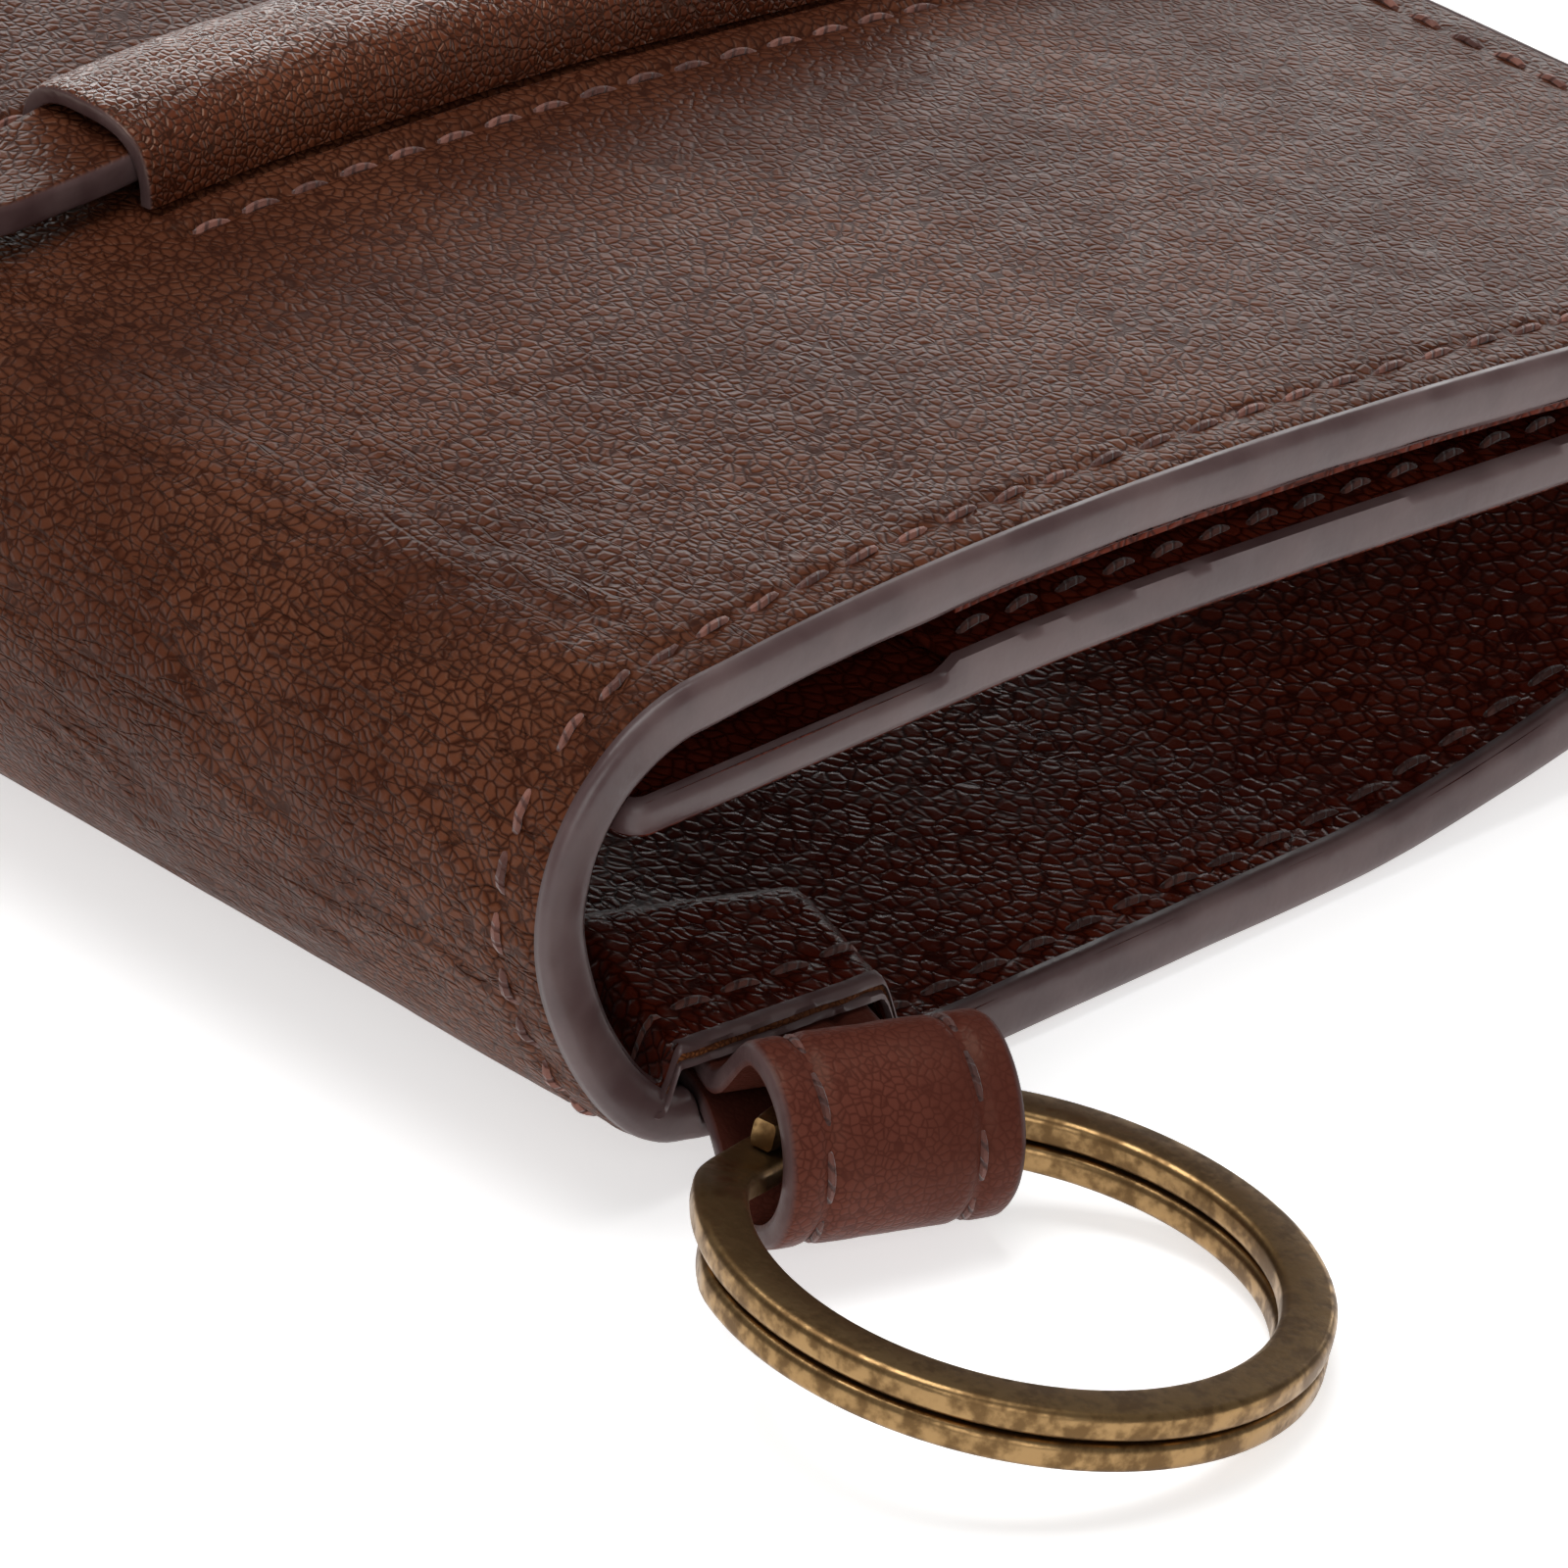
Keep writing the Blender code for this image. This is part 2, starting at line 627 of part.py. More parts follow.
def strap_ply(name, outline, spacing, joint):
    """One leather of the strap: its face, or its backing behind it."""

    def width(_):
        return KEEPER_Y - STRAP_WIDTH / 2, KEEPER_Y + STRAP_WIDTH / 2

    sheet(name, outline, spacing, STRAP_LEATHER, "outer_leather", joint, width)


def make_strap(joints):
    low, high = strap_corners()
    root_angle, tongue_angle = strap_bend_angles()
    half_root = (root_angle + math.pi / 2) / 2
    half_tongue = (math.pi / 2 + tongue_angle) / 2
    gap = LAY_GAP / 2 / STRAP_CORNER_RADIUS
    lift = STRAP_LIFT + STRAP_THICKNESS

    root_start = CASE_WIDTH - STRAP_ROOT_LENGTH
    root_x = spread(root_start, CASE_WIDTH - STRAP_CORNER_RADIUS / 2, 5)
    root_drop = LAY_GAP + STRAP_THICKNESS
    root = [(x, bottom_z(x) - root_drop) for x in root_x]
    root += strap_turn(low, root_angle, half_root - gap, 2)
    root = directed(root, last=half_root)
    bend = strap_turn(low, half_root + gap, math.pi / 2, 3)
    bend += strap_turn(high, math.pi / 2, half_tongue - gap, 3)
    bend = directed(bend, half_root, half_tongue)
    tongue = strap_turn(high, half_tongue + gap, tongue_angle, 2)
    tongue_x = spread(CASE_WIDTH - STRAP_CORNER_RADIUS / 2, STRAP_TAIL_X, 16)
    tongue += [(x, top_z(max(x, SPINE_RADIUS)) + lift) for x in tongue_x]
    tongue = directed(tongue, half_tongue)

    parts = (("root", root, None), ("bend", bend, joints["strap_bend"]))
    parts += (("tongue", tongue, joints["strap_tongue"]),)
    for part, outline, joint in parts:
        strap_ply(f"strap_{part}_face", outline, 0.0, joint)
        strap_ply(f"strap_{part}_backing", outline, STRAP_LEATHER + STRAP_PLY_GAP, joint)

    box_x = spread(root_start + STRAP_STITCH_INSET, CASE_WIDTH - CORNER_RADIUS, 4)
    reach = STRAP_WIDTH / 2 - STRAP_STITCH_INSET
    drop = root_drop + THREAD_GAP + THREAD
    side = [(x, bottom_z(x) - drop) for x in box_x]
    box = [place(x, KEEPER_Y - reach, z) for x, z in side]
    box += [place(x, KEEPER_Y + reach, z) for x, z in reversed(side)]
    make_thread("strap_root_thread", box, closed=True)


# ---- split ring ---------------------------------------------------------------------
def ring_frame():
    """The ring's own axes at its pivot: X across the tab, Y out towards its centre."""
    pivot = Matrix.Translation((0, PIVOT_OUT, PIVOT_Z))
    roll = Matrix.Rotation(RING_ROLL - TAB_TILT, 4, "Y")
    yaw = Matrix.Rotation(-RING_YAW, 4, "Z")
    droop = Matrix.Rotation(-RING_DROOP, 4, "X")
    return tab_frame() @ pivot @ yaw @ roll @ droop


def make_split_ring(joint):
    """Flat wire wound twice, stepping from the first coil to the second."""
    half_width, half_height = RING_WIRE_WIDTH / 2, RING_WIRE_HEIGHT / 2
    chamfer = RING_WIRE_HEIGHT * RING_CHAMFER_SHARE
    corners = [
        (half_width - chamfer, -half_height),
        (half_width, -half_height + chamfer),
        (half_width, half_height - chamfer),
        (half_width - chamfer, half_height),
        (-half_width + chamfer, half_height),
        (-half_width, half_height - chamfer),
        (-half_width, -half_height + chamfer),
        (-half_width + chamfer, -half_height),
    ]
    pitch = RING_WIRE_HEIGHT + RING_COIL_GAP
    frame = ring_frame()
    ends = RING_RISE_ANGLE / 2
    sections = []
    for turn in spread(ends, 4 * math.pi - ends, 2 * RING_STEPS):
        share = (turn - 2 * math.pi + RING_RISE_ANGLE / 2) / RING_RISE_ANGLE
        level = pitch * (ease(share) - 0.5)
        to_tip = min(turn - ends, 4 * math.pi - ends - turn) / RING_TIP_ANGLE
        tip = min(1.0, RING_TIP_SHARE + (1 - RING_TIP_SHARE) * to_tip)
        angle = RING_JOG_ANGLE - turn
        section = []
        for across, up in corners:
            radius = RING_RADIUS + across * tip
            x = radius * math.sin(angle)
            y = RING_RADIUS - RING_SEAT - radius * math.cos(angle)
            section.append(frame @ Vector((x, y, level + up)))
        sections.append(section[::-1])
    loft("split_ring", sections, "antique_brass", joint)


# ---- assembly -----------------------------------------------------------------------
def make_joints():
    """One empty on each joint's axis; every axis runs along the spine but the ring's."""
    middle = CASE_LENGTH / 2
    low, high = strap_corners()
    root_angle, tongue_angle = strap_bend_angles()
    low_x, low_z = strap_turn(low, (root_angle + math.pi / 2) / 2, 0, 1)[0]
    high_x, high_z = strap_turn(high, (math.pi / 2 + tongue_angle) / 2, 0, 1)[0]
    joints = {}
    joints["spine_lower"] = make_joint("spine_foot_axis", place(SPINE_FOOT_X, middle, SPINE_FOOT_Z))
    joints["spine_upper"] = make_joint(
        "spine_middle_axis", place(0, middle, SPINE_MID_Z), joints["spine_lower"]
    )
    joints["front"] = make_joint(
        "spine_shoulder_axis", place(SPINE_RADIUS, middle, SHOULDER_Z), joints["spine_upper"]
    )
    sewn_z = panel_z(PANEL_END) + PANEL_LEATHER
    joints["pocket"] = make_joint("pocket_axis", place(PANEL_END, middle, sewn_z), joints["front"])
    joints["strap_bend"] = make_joint("strap_root_axis", place(low_x, middle, low_z))
    joints["strap_tongue"] = make_joint(
        "strap_tongue_axis", place(high_x, middle, high_z), joints["strap_bend"]
    )
    joints["ring"] = make_joint("ring_axis", ring_frame().translation)
    return joints


clear_scene()
MATERIALS = {slot: make_material(slot, *look) for slot, look in COLOURS.items()}
JOINTS = make_joints()
make_back_cover()
make_spine(JOINTS)
make_front_cover(JOINTS["front"])
make_keeper(JOINTS["front"])
make_gussets(JOINTS["front"])
make_panel(JOINTS["pocket"])
make_ring_tab()
make_strap(JOINTS)
make_split_ring(JOINTS["ring"])
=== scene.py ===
import math

import bmesh
import bpy
import numpy as np
from mathutils import Matrix, Vector


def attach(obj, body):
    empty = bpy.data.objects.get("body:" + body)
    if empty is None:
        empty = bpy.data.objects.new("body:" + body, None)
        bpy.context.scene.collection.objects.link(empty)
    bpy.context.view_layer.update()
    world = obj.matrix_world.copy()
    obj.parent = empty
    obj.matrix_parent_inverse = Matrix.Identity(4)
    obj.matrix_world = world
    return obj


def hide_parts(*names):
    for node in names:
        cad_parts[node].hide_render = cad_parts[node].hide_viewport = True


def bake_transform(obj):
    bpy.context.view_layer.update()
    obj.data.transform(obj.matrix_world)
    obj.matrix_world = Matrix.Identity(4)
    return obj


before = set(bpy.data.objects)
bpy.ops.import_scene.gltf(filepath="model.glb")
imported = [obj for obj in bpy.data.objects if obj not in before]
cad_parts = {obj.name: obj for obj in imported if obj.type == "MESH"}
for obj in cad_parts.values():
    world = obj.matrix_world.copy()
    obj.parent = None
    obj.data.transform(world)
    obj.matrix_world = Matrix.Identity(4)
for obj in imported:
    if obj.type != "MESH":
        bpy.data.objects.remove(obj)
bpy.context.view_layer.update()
mm = 0.001

# the closed case, in mm: x from the spine, y from the ring end, z from the table
caseShape = {
    "length": 96.0,
    "width": 79.5,
    "height": 22.9,
    "openTop": 16.6,  # front cover's outer face at the open side
    "openBottom": 8.3,  # back cover's
    "corner": 6.0,
    "spineRadius": 8.9,
    "shoulderDrop": 0.6,
    "crest": 22.7,
    "footX": 7.0,  # spine meets back cover
    "footZ": 2.0,
    "bellyStart": 22.0,
    "bellyEnd": 43.0,
    "origin": (34.0, 48.0, 0.0),
}
length, width, corner = caseShape["length"], caseShape["width"], caseShape["corner"]


# small tools
def ease(share):
    share = np.clip(share, 0, 1)
    return share * share * (3 - 2 * share)


def bump(distance, size):
    return np.exp(-((distance / size) ** 2))


def softNoise(u, v, seed):
    # smooth noise between -1 and 1 on a unit grid
    table = np.random.default_rng(seed).random((64, 64)) * 2 - 1
    u, v = np.broadcast_arrays(np.asarray(u, float), np.asarray(v, float))
    iu, iv = np.floor(u).astype(int), np.floor(v).astype(int)
    fu, fv = ease(u - iu), ease(v - iv)
    low = table[iu % 64, iv % 64] * (1 - fu) + table[(iu + 1) % 64, iv % 64] * fu
    high = table[iu % 64, (iv + 1) % 64] * (1 - fu) + table[(iu + 1) % 64, (iv + 1) % 64] * fu
    return low * (1 - fv) + high * fv


def layeredNoise(u, v, seed, layers=3):
    total = 0.0
    for layer in range(layers):
        total = total + softNoise(u * 2**layer, v * 2**layer, seed + layer) / 2**layer
    return total / 1.6


def resample(points, step, smooth=0.0):
    # even steps along a line, its corners softened
    points = np.array(points, float)
    runs = np.r_[0, np.cumsum(np.linalg.norm(np.diff(points, axis=0), axis=1))]
    at = np.linspace(0, runs[-1], int(round(runs[-1] / step)) + 1)
    line = np.stack([np.interp(at, runs, column) for column in points.T], -1)
    reach = int(smooth / step)
    if reach:
        steps = np.arange(1, reach + 1)[:, None]
        before = line[0] + (line[0] - line[1]) * steps[::-1]
        after = line[-1] + (line[-1] - line[-2]) * steps
        padded = np.concatenate([before, line, after])
        kernel = np.hanning(2 * reach + 3)[1:-1]
        kernel = kernel / kernel.sum()
        line = np.stack([np.convolve(column, kernel, "valid") for column in padded.T], -1)
    return line


def tangentsOf(line):
    along = np.gradient(line, axis=0)
    return along / np.linalg.norm(along, axis=-1, keepdims=True)


def makePiece(name, points, faces, material, normals=None, **attributes):
    placed = (np.asarray(points, float) - caseShape["origin"]) * mm
    mesh = bpy.data.meshes.new(name)
    mesh.from_pydata(placed.tolist(), [], [list(map(int, face)) for face in faces])
    shell = bmesh.new()
    shell.from_mesh(mesh)
    bmesh.ops.recalc_face_normals(shell, faces=shell.faces)
    shell.to_mesh(mesh)
    shell.free()
    mesh.materials.append(material)
    mesh.polygons.foreach_set("use_smooth", [True] * len(mesh.polygons))
    for key, values in attributes.items():
        attribute = mesh.attributes.new(key, "FLOAT", "POINT")
        attribute.data.foreach_set("value", np.asarray(values, np.float32))
    piece = bpy.data.objects.new(name, mesh)
    bpy.context.scene.collection.objects.link(piece)
    mesh.update()
    if normals is None:
        mesh.set_sharp_from_angle(angle=math.radians(55))
    else:
        mesh.normals_split_custom_set_from_vertices(normals.tolist())
    return piece


def slabFaces(rows, columns):
    # a front grid, a back grid, and the rim between them
    number = np.arange(rows * columns).reshape(rows, columns)
    quads = np.stack([number[:-1, :-1], number[1:, :-1], number[1:, 1:], number[:-1, 1:]], -1)
    front = quads.reshape(-1, 4)
    back = front[:, ::-1] + rows * columns
    rim = np.r_[number[:, 0], number[-1, 1:], number[::-1, -1][1:], number[0, ::-1][1:-1]]
    then = np.roll(rim, -1)
    sides = np.stack([then, rim, rim + rows * columns, then + rows * columns], -1)
    return np.concatenate([front, back, sides]).tolist()


def gridNormals(grid):
    along = np.gradient(grid, axis=0)
    across = np.gradient(grid, axis=1)
    normals = np.cross(along, across)
    return normals / np.linalg.norm(normals, axis=-1, keepdims=True)


def slab(front, back, outward):
    # front and back are grids of points; outward says which way the front one looks
    rows, columns = front.shape[:2]
    faces = slabFaces(rows, columns)
    frontNormals = gridNormals(front) * outward
    if outward < 0:
        faces = [face[::-1] for face in faces]
    points = np.concatenate([front.reshape(-1, 3), back.reshape(-1, 3)])
    normals = np.concatenate([frontNormals.reshape(-1, 3), -frontNormals.reshape(-1, 3)])
    return points, faces, normals


def loftFaces(rows, columns, closed=False):
    # sections that are closed loops; the ends are capped unless the path closes
    number = np.arange(rows * columns).reshape(rows, columns)
    if closed:
        number = np.vstack([number, number[:1]])
    then = np.roll(number, -1, axis=1)
    quads = np.stack([number[:-1], number[1:], then[1:], then[:-1]], -1).reshape(-1, 4).tolist()
    if not closed:
        quads += [list(range(columns)), list(range((rows - 1) * columns, rows * columns))[::-1]]
    return quads


def join(parts):
    points, faces, start = [], [], 0
    for somePoints, someFaces in parts:
        points.append(np.asarray(somePoints, float).reshape(-1, 3))
        faces += [[index + start for index in face] for face in someFaces]
        start += len(points[-1])
    return np.concatenate(points), faces


# materials
def newMaterial(name, roughness, specular=0.5, metallic=0.0, coat=0.0, tint=(1.0, 1.0, 1.0)):
    material = bpy.data.materials.new(name)
    material.use_nodes = True
    shader = material.node_tree.nodes["Principled BSDF"]
    shader.inputs["Roughness"].default_value = roughness
    shader.inputs["Metallic"].default_value = metallic
    shader.inputs["Specular IOR Level"].default_value = specular
    shader.inputs["Coat Weight"].default_value = coat
    shader.inputs["Coat Roughness"].default_value = 0.25
    shader.inputs["Specular Tint"].default_value = (*tint, 1)
    return material


def addNode(material, kind, **settings):
    # a node, with its settings and its sockets filled in by name
    node = material.node_tree.nodes.new(kind)
    for key, value in settings.items():
        if hasattr(node, key):
            setattr(node, key, value)
            continue
        socket = node.inputs[key.replace("_", " ")]
        if isinstance(value, bpy.types.NodeSocket):
            material.node_tree.links.new(value, socket)
        else:
            socket.default_value = value
    return node


def plug(material, output, socket):
    shader = material.node_tree.nodes["Principled BSDF"]
    material.node_tree.links.new(output, shader.inputs[socket])


def mixColours(material, share, first, second):
    node = addNode(material, "ShaderNodeMix", data_type="RGBA")
    links = material.node_tree.links
    for socket, value in ((node.inputs[0], share), (node.inputs[6], first), (node.inputs[7], second)):
        if isinstance(value, bpy.types.NodeSocket):
            links.new(value, socket)
        else:
            socket.default_value = value if isinstance(value, float) else (*value, 1.0)
    return node.outputs[2]


def rescale(material, value, low, high, toLow=0.0, toHigh=1.0):
    node = addNode(material, "ShaderNodeMapRange", interpolation_type="SMOOTHSTEP")
    material.node_tree.links.new(value, node.inputs["Value"])
    for name, number in zip(("From Min", "From Max", "To Min", "To Max"), (low, high, toLow, toHigh)):
        node.inputs[name].default_value = number
    return node.outputs["Result"]


def calculate(material, operation, first, second):
    node = addNode(material, "ShaderNodeMath", operation=operation)
    for socket, value in zip(node.inputs, (first, second)):
        if isinstance(value, bpy.types.NodeSocket):
            material.node_tree.links.new(value, socket)
        else:
            socket.default_value = value
    return node.outputs[0]


def leatherMaterial(name, look):
    # pebbled grain, darker in its crevices and fold valleys (painted shade, in the crevices partly the
    # grain's own tone); where "paint" is 1 the cut edge is painted
    material = newMaterial(name, look["roughness"], look["specular"], coat=look["coat"], tint=look["gloss"])
    place = addNode(material, "ShaderNodeTexCoord").outputs["Object"]
    warp = addNode(material, "ShaderNodeTexNoise", Vector=place, Scale=900.0, Detail=2.0)
    shifted = addNode(material, "ShaderNodeVectorMath", operation="SCALE")
    material.node_tree.links.new(warp.outputs["Color"], shifted.inputs[0])
    shifted.inputs["Scale"].default_value = look["grainSize"] * mm * 0.7
    bent = addNode(material, "ShaderNodeVectorMath", operation="ADD")
    material.node_tree.links.new(place, bent.inputs[0])
    material.node_tree.links.new(shifted.outputs[0], bent.inputs[1])
    stretch = addNode(material, "ShaderNodeVectorMath", operation="MULTIPLY")
    material.node_tree.links.new(bent.outputs[0], stretch.inputs[0])
    stretch.inputs[1].default_value = look["stretch"]
    cells = addNode(
        material, "ShaderNodeTexVoronoi", feature="DISTANCE_TO_EDGE",
        Vector=stretch.outputs[0], Scale=1 / (look["grainSize"] * mm),
    ).outputs["Distance"]
    pebble = rescale(material, cells, 0.0, 0.30)
    fine = addNode(material, "ShaderNodeTexNoise", Vector=place, Scale=5200.0, Detail=3.0).outputs[0]
    broad = addNode(material, "ShaderNodeTexNoise", Vector=place, Scale=75.0, Detail=4.0).outputs[0]
    crease = addNode(material, "ShaderNodeTexNoise", Vector=place, Scale=420.0, Detail=5.0).outputs[0]
    tone = mixColours(material, rescale(material, broad, 0.35, 0.68), look["dark"], look["light"])
    mottleAndCreviceShade = calculate(material, "ADD", calculate(material, "MULTIPLY", fine, 0.10), cells)
    # darker along the grain's cell edges: painted shade, partly the grain's own darker tone
    colour = mixColours(material, rescale(material, mottleAndCreviceShade, 0.04, 0.24), look["creviceToneAndShade"], tone)
    height = calculate(material, "MULTIPLY", pebble, look["grainDepth"])
    height = calculate(material, "ADD", height, calculate(material, "MULTIPLY", fine, look["fineDepth"]))
    height = calculate(material, "ADD", height, calculate(material, "MULTIPLY", crease, look["creaseDepth"]))
    rough = rescale(material, crease, 0.3, 0.7, look["roughness"] - 0.05, look["roughness"] + 0.05)
    if look.get("folds"):  # creases that run with the spine, where the leather bends, their valleys darkened with painted shade
        bend = addNode(material, "ShaderNodeAttribute", attribute_name="bend").outputs["Fac"]
        for scale, wander, reach in look["folds"]:
            long = addNode(material, "ShaderNodeVectorMath", operation="MULTIPLY")
            material.node_tree.links.new(place, long.inputs[0])
            long.inputs[1].default_value = (1.0, wander, 1.0)
            waves = addNode(material, "ShaderNodeTexNoise", Vector=long.outputs[0], Scale=scale, Detail=2.0)
            offMiddle = calculate(material, "SUBTRACT", waves.outputs[0], 0.5)
            away = calculate(material, "ABSOLUTE", offMiddle, 0.0)
            valley = rescale(material, away, 0.0, reach, 1.0, 0.0)
            valley = calculate(material, "MULTIPLY", valley, bend)
            deep = calculate(material, "MULTIPLY", valley, look["foldDepth"])
            height = calculate(material, "SUBTRACT", height, deep)
            # the fold valleys darkened towards the crevice colour: painted shade
            shade = calculate(material, "MULTIPLY", valley, 0.22)
            colour = mixColours(material, shade, colour, look["creviceToneAndShade"])
    if look.get("edge"):
        paint = addNode(material, "ShaderNodeAttribute", attribute_name="paint").outputs["Fac"]
        lumps = addNode(material, "ShaderNodeTexNoise", Vector=place, Scale=330.0, Detail=4.0).outputs[0]
        edge = mixColours(material, rescale(material, lumps, 0.3, 0.7), edgeLook["dark"], edgeLook["light"])
        colour = mixColours(material, paint, colour, edge)
        level = calculate(material, "MULTIPLY", lumps, edgeLook["lumpDepth"])
        mixed = addNode(material, "ShaderNodeMix", data_type="FLOAT")
        for socket, value in zip((0, 2, 3), (paint, height, level)):
            material.node_tree.links.new(value, mixed.inputs[socket])
        height = mixed.outputs[0]
    relief = addNode(material, "ShaderNodeBump", Height=height, Strength=look["relief"], Distance=mm)
    plug(material, colour, "Base Color")
    plug(material, rough, "Roughness")
    plug(material, relief.outputs[0], "Normal")
    return material


edgeLook = {
    "dark": (0.064, 0.034, 0.034),
    "light": (0.112, 0.070, 0.068),
    "roughness": 0.36,
    "lumpDepth": 0.20,  # mm
}


def edgePaintMaterial(name, look):
    material = newMaterial(name, look["roughness"], 0.5)
    place = addNode(material, "ShaderNodeTexCoord").outputs["Object"]
    lumps = addNode(material, "ShaderNodeTexNoise", Vector=place, Scale=330.0, Detail=4.0).outputs[0]
    streaks = addNode(material, "ShaderNodeTexNoise", Vector=place, Scale=90.0, Detail=2.0).outputs[0]
    half = calculate(material, "MULTIPLY", lumps, 0.5)
    share = calculate(material, "ADD", half, calculate(material, "MULTIPLY", streaks, 0.5))
    colour = mixColours(material, rescale(material, share, 0.36, 0.64), look["dark"], look["light"])
    height = calculate(material, "MULTIPLY", lumps, look["lumpDepth"])
    relief = addNode(material, "ShaderNodeBump", Height=height, Strength=0.6, Distance=mm)
    plug(material, colour, "Base Color")
    plug(material, relief.outputs[0], "Normal")
    rough = rescale(material, lumps, 0.3, 0.7, look["roughness"] - 0.06, look["roughness"] + 0.1)
    plug(material, rough, "Roughness")
    return material


def threadMaterial(name, look):
    material = newMaterial(name, 0.62, 0.4)
    shader = material.node_tree.nodes["Principled BSDF"]
    shader.inputs["Sheen Weight"].default_value = 0.25
    place = addNode(material, "ShaderNodeTexCoord").outputs["Object"]
    fibres = addNode(material, "ShaderNodeTexNoise", Vector=place, Scale=6000.0, Detail=2.0).outputs[0]
    stains = addNode(material, "ShaderNodeTexNoise", Vector=place, Scale=260.0, Detail=2.0).outputs[0]
    tone = mixColours(material, rescale(material, stains, 0.35, 0.65), look["dark"], look["light"])
    along, upper, aside = (
        addNode(material, "ShaderNodeAttribute", attribute_name=key).outputs["Fac"]
        for key in ("along", "upper", "aside")
    )
    phase = calculate(material, "MULTIPLY", along, 2 * math.pi / look["lay"])
    twist = calculate(
        material, "ADD",
        calculate(material, "MULTIPLY", calculate(material, "SINE", phase, 0.0), aside),
        calculate(material, "MULTIPLY", calculate(material, "COSINE", phase, 0.0), upper),
    )
    # darker in the grooves between the twisted strands: painted shade
    strand = rescale(material, twist, -1.0, -0.2)
    tone = mixColours(material, strand, look["dark"], tone)
    height = calculate(material, "ADD", strand, calculate(material, "MULTIPLY", fibres, 0.5))
    relief = addNode(material, "ShaderNodeBump", Height=height, Strength=0.9, Distance=0.07 * mm)
    plug(material, tone, "Base Color")
    plug(material, relief.outputs[0], "Normal")
    return material


def brassMaterial(name, look):
    # antiqued brass: bright on the rubbed faces, brown patina in patches
    material = newMaterial(name, 0.34, 0.5, metallic=1.0)
    place = addNode(material, "ShaderNodeTexCoord").outputs["Object"]
    patches = addNode(material, "ShaderNodeTexNoise", Vector=place, Scale=760.0, Detail=7.0).outputs[0]
    specks = addNode(material, "ShaderNodeTexNoise", Vector=place, Scale=2600.0, Detail=3.0).outputs[0]
    broad = calculate(material, "MULTIPLY", patches, 0.7)
    worn = calculate(material, "ADD", broad, calculate(material, "MULTIPLY", specks, 0.3))
    colour = mixColours(material, rescale(material, worn, 0.40, 0.60), look["patina"], look["brass"])
    relief = addNode(material, "ShaderNodeBump", Height=specks, Strength=0.3, Distance=0.05 * mm)
    plug(material, colour, "Base Color")
    plug(material, rescale(material, worn, 0.38, 0.62, 0.46, 0.28), "Roughness")
    plug(material, relief.outputs[0], "Normal")
    return material


outerLook = {
    "light": (0.118, 0.038, 0.018),
    "dark": (0.072, 0.020, 0.009),
    # colour of the crevices and fold valleys: painted shade, partly the grain's own tone
    "creviceToneAndShade": (0.030, 0.007, 0.003),
    "roughness": 0.44,
    "specular": 0.10,
    "gloss": (1.0, 0.70, 0.50),
    "coat": 0.0,
    "grainSize": 0.46,  # mm
    "grainDepth": 0.060,  # mm
    "fineDepth": 0.012,
    "creaseDepth": 0.10,
    "stretch": (1.0, 0.8, 1.0),
    "relief": 1.0,
}
coverLook = dict(outerLook, folds=[(430.0, 0.13, 0.030), (900.0, 0.20, 0.022)], foldDepth=0.095)
edgedLook = dict(outerLook, edge=True)
keeperLook = dict(
    outerLook, edge=True, light=(0.150, 0.042, 0.018), dark=(0.098, 0.022, 0.009),
    roughness=0.30, specular=0.35, grainSize=0.34, grainDepth=0.055,
)
liningLook = {
    "light": (0.130, 0.021, 0.009),
    "dark": (0.080, 0.011, 0.005),
    # colour of the lining's crevices and folds: painted shade, partly the grain's own tone
    "creviceToneAndShade": (0.030, 0.003, 0.001),
    "roughness": 0.27,
    "specular": 0.07,
    "gloss": (1.0, 0.72, 0.60),
    "coat": 0.0,
    "grainSize": 0.60,
    "grainDepth": 0.028,
    "fineDepth": 0.010,
    "creaseDepth": 0.13,
    "stretch": (1.0, 0.7, 1.0),
    "relief": 1.0,
    "edge": True,
}
tabLook = dict(
    outerLook, edge=True, light=(0.122, 0.035, 0.023), dark=(0.078, 0.021, 0.014),
    # the crevice colour here is painted shade, partly the grain's own tone
    creviceToneAndShade=(0.070, 0.018, 0.012), roughness=0.38, grainSize=0.36, grainDepth=0.010,
)
rawLook = dict(
    # the crevice colour here is painted shade, partly the raw leather's own tone
    outerLook, light=(0.300, 0.105, 0.035), dark=(0.110, 0.036, 0.014), creviceToneAndShade=(0.060, 0.018, 0.008),
    roughness=0.75, grainSize=0.30, grainDepth=0.04,
)
threadLook = {"light": (0.230, 0.085, 0.058), "dark": (0.070, 0.018, 0.011), "lay": 0.62}  # lay: mm a turn
darkThreadLook = {"light": (0.125, 0.036, 0.023), "dark": (0.045, 0.010, 0.006), "lay": 0.62}
brassLook = {"brass": (0.340, 0.210, 0.092), "patina": (0.150, 0.086, 0.036)}

outerLeather = leatherMaterial("pebbledLeather", coverLook)
edgedLeather = leatherMaterial("pebbledLeatherEdged", edgedLook)
keeperLeather = leatherMaterial("keeperLeather", keeperLook)
liningLeather = leatherMaterial("glazedLining", liningLook)
tabLeather = leatherMaterial("tabLeather", tabLook)
rawLeather = leatherMaterial("rawLeather", rawLook)
edgePaint = edgePaintMaterial("edgePaint", edgeLook)
waxedThread = threadMaterial("waxedThread", threadLook)
darkThread = threadMaterial("darkThread", darkThreadLook)
antiqueBrass = brassMaterial("antiqueBrass", brassLook)
print("materials made")


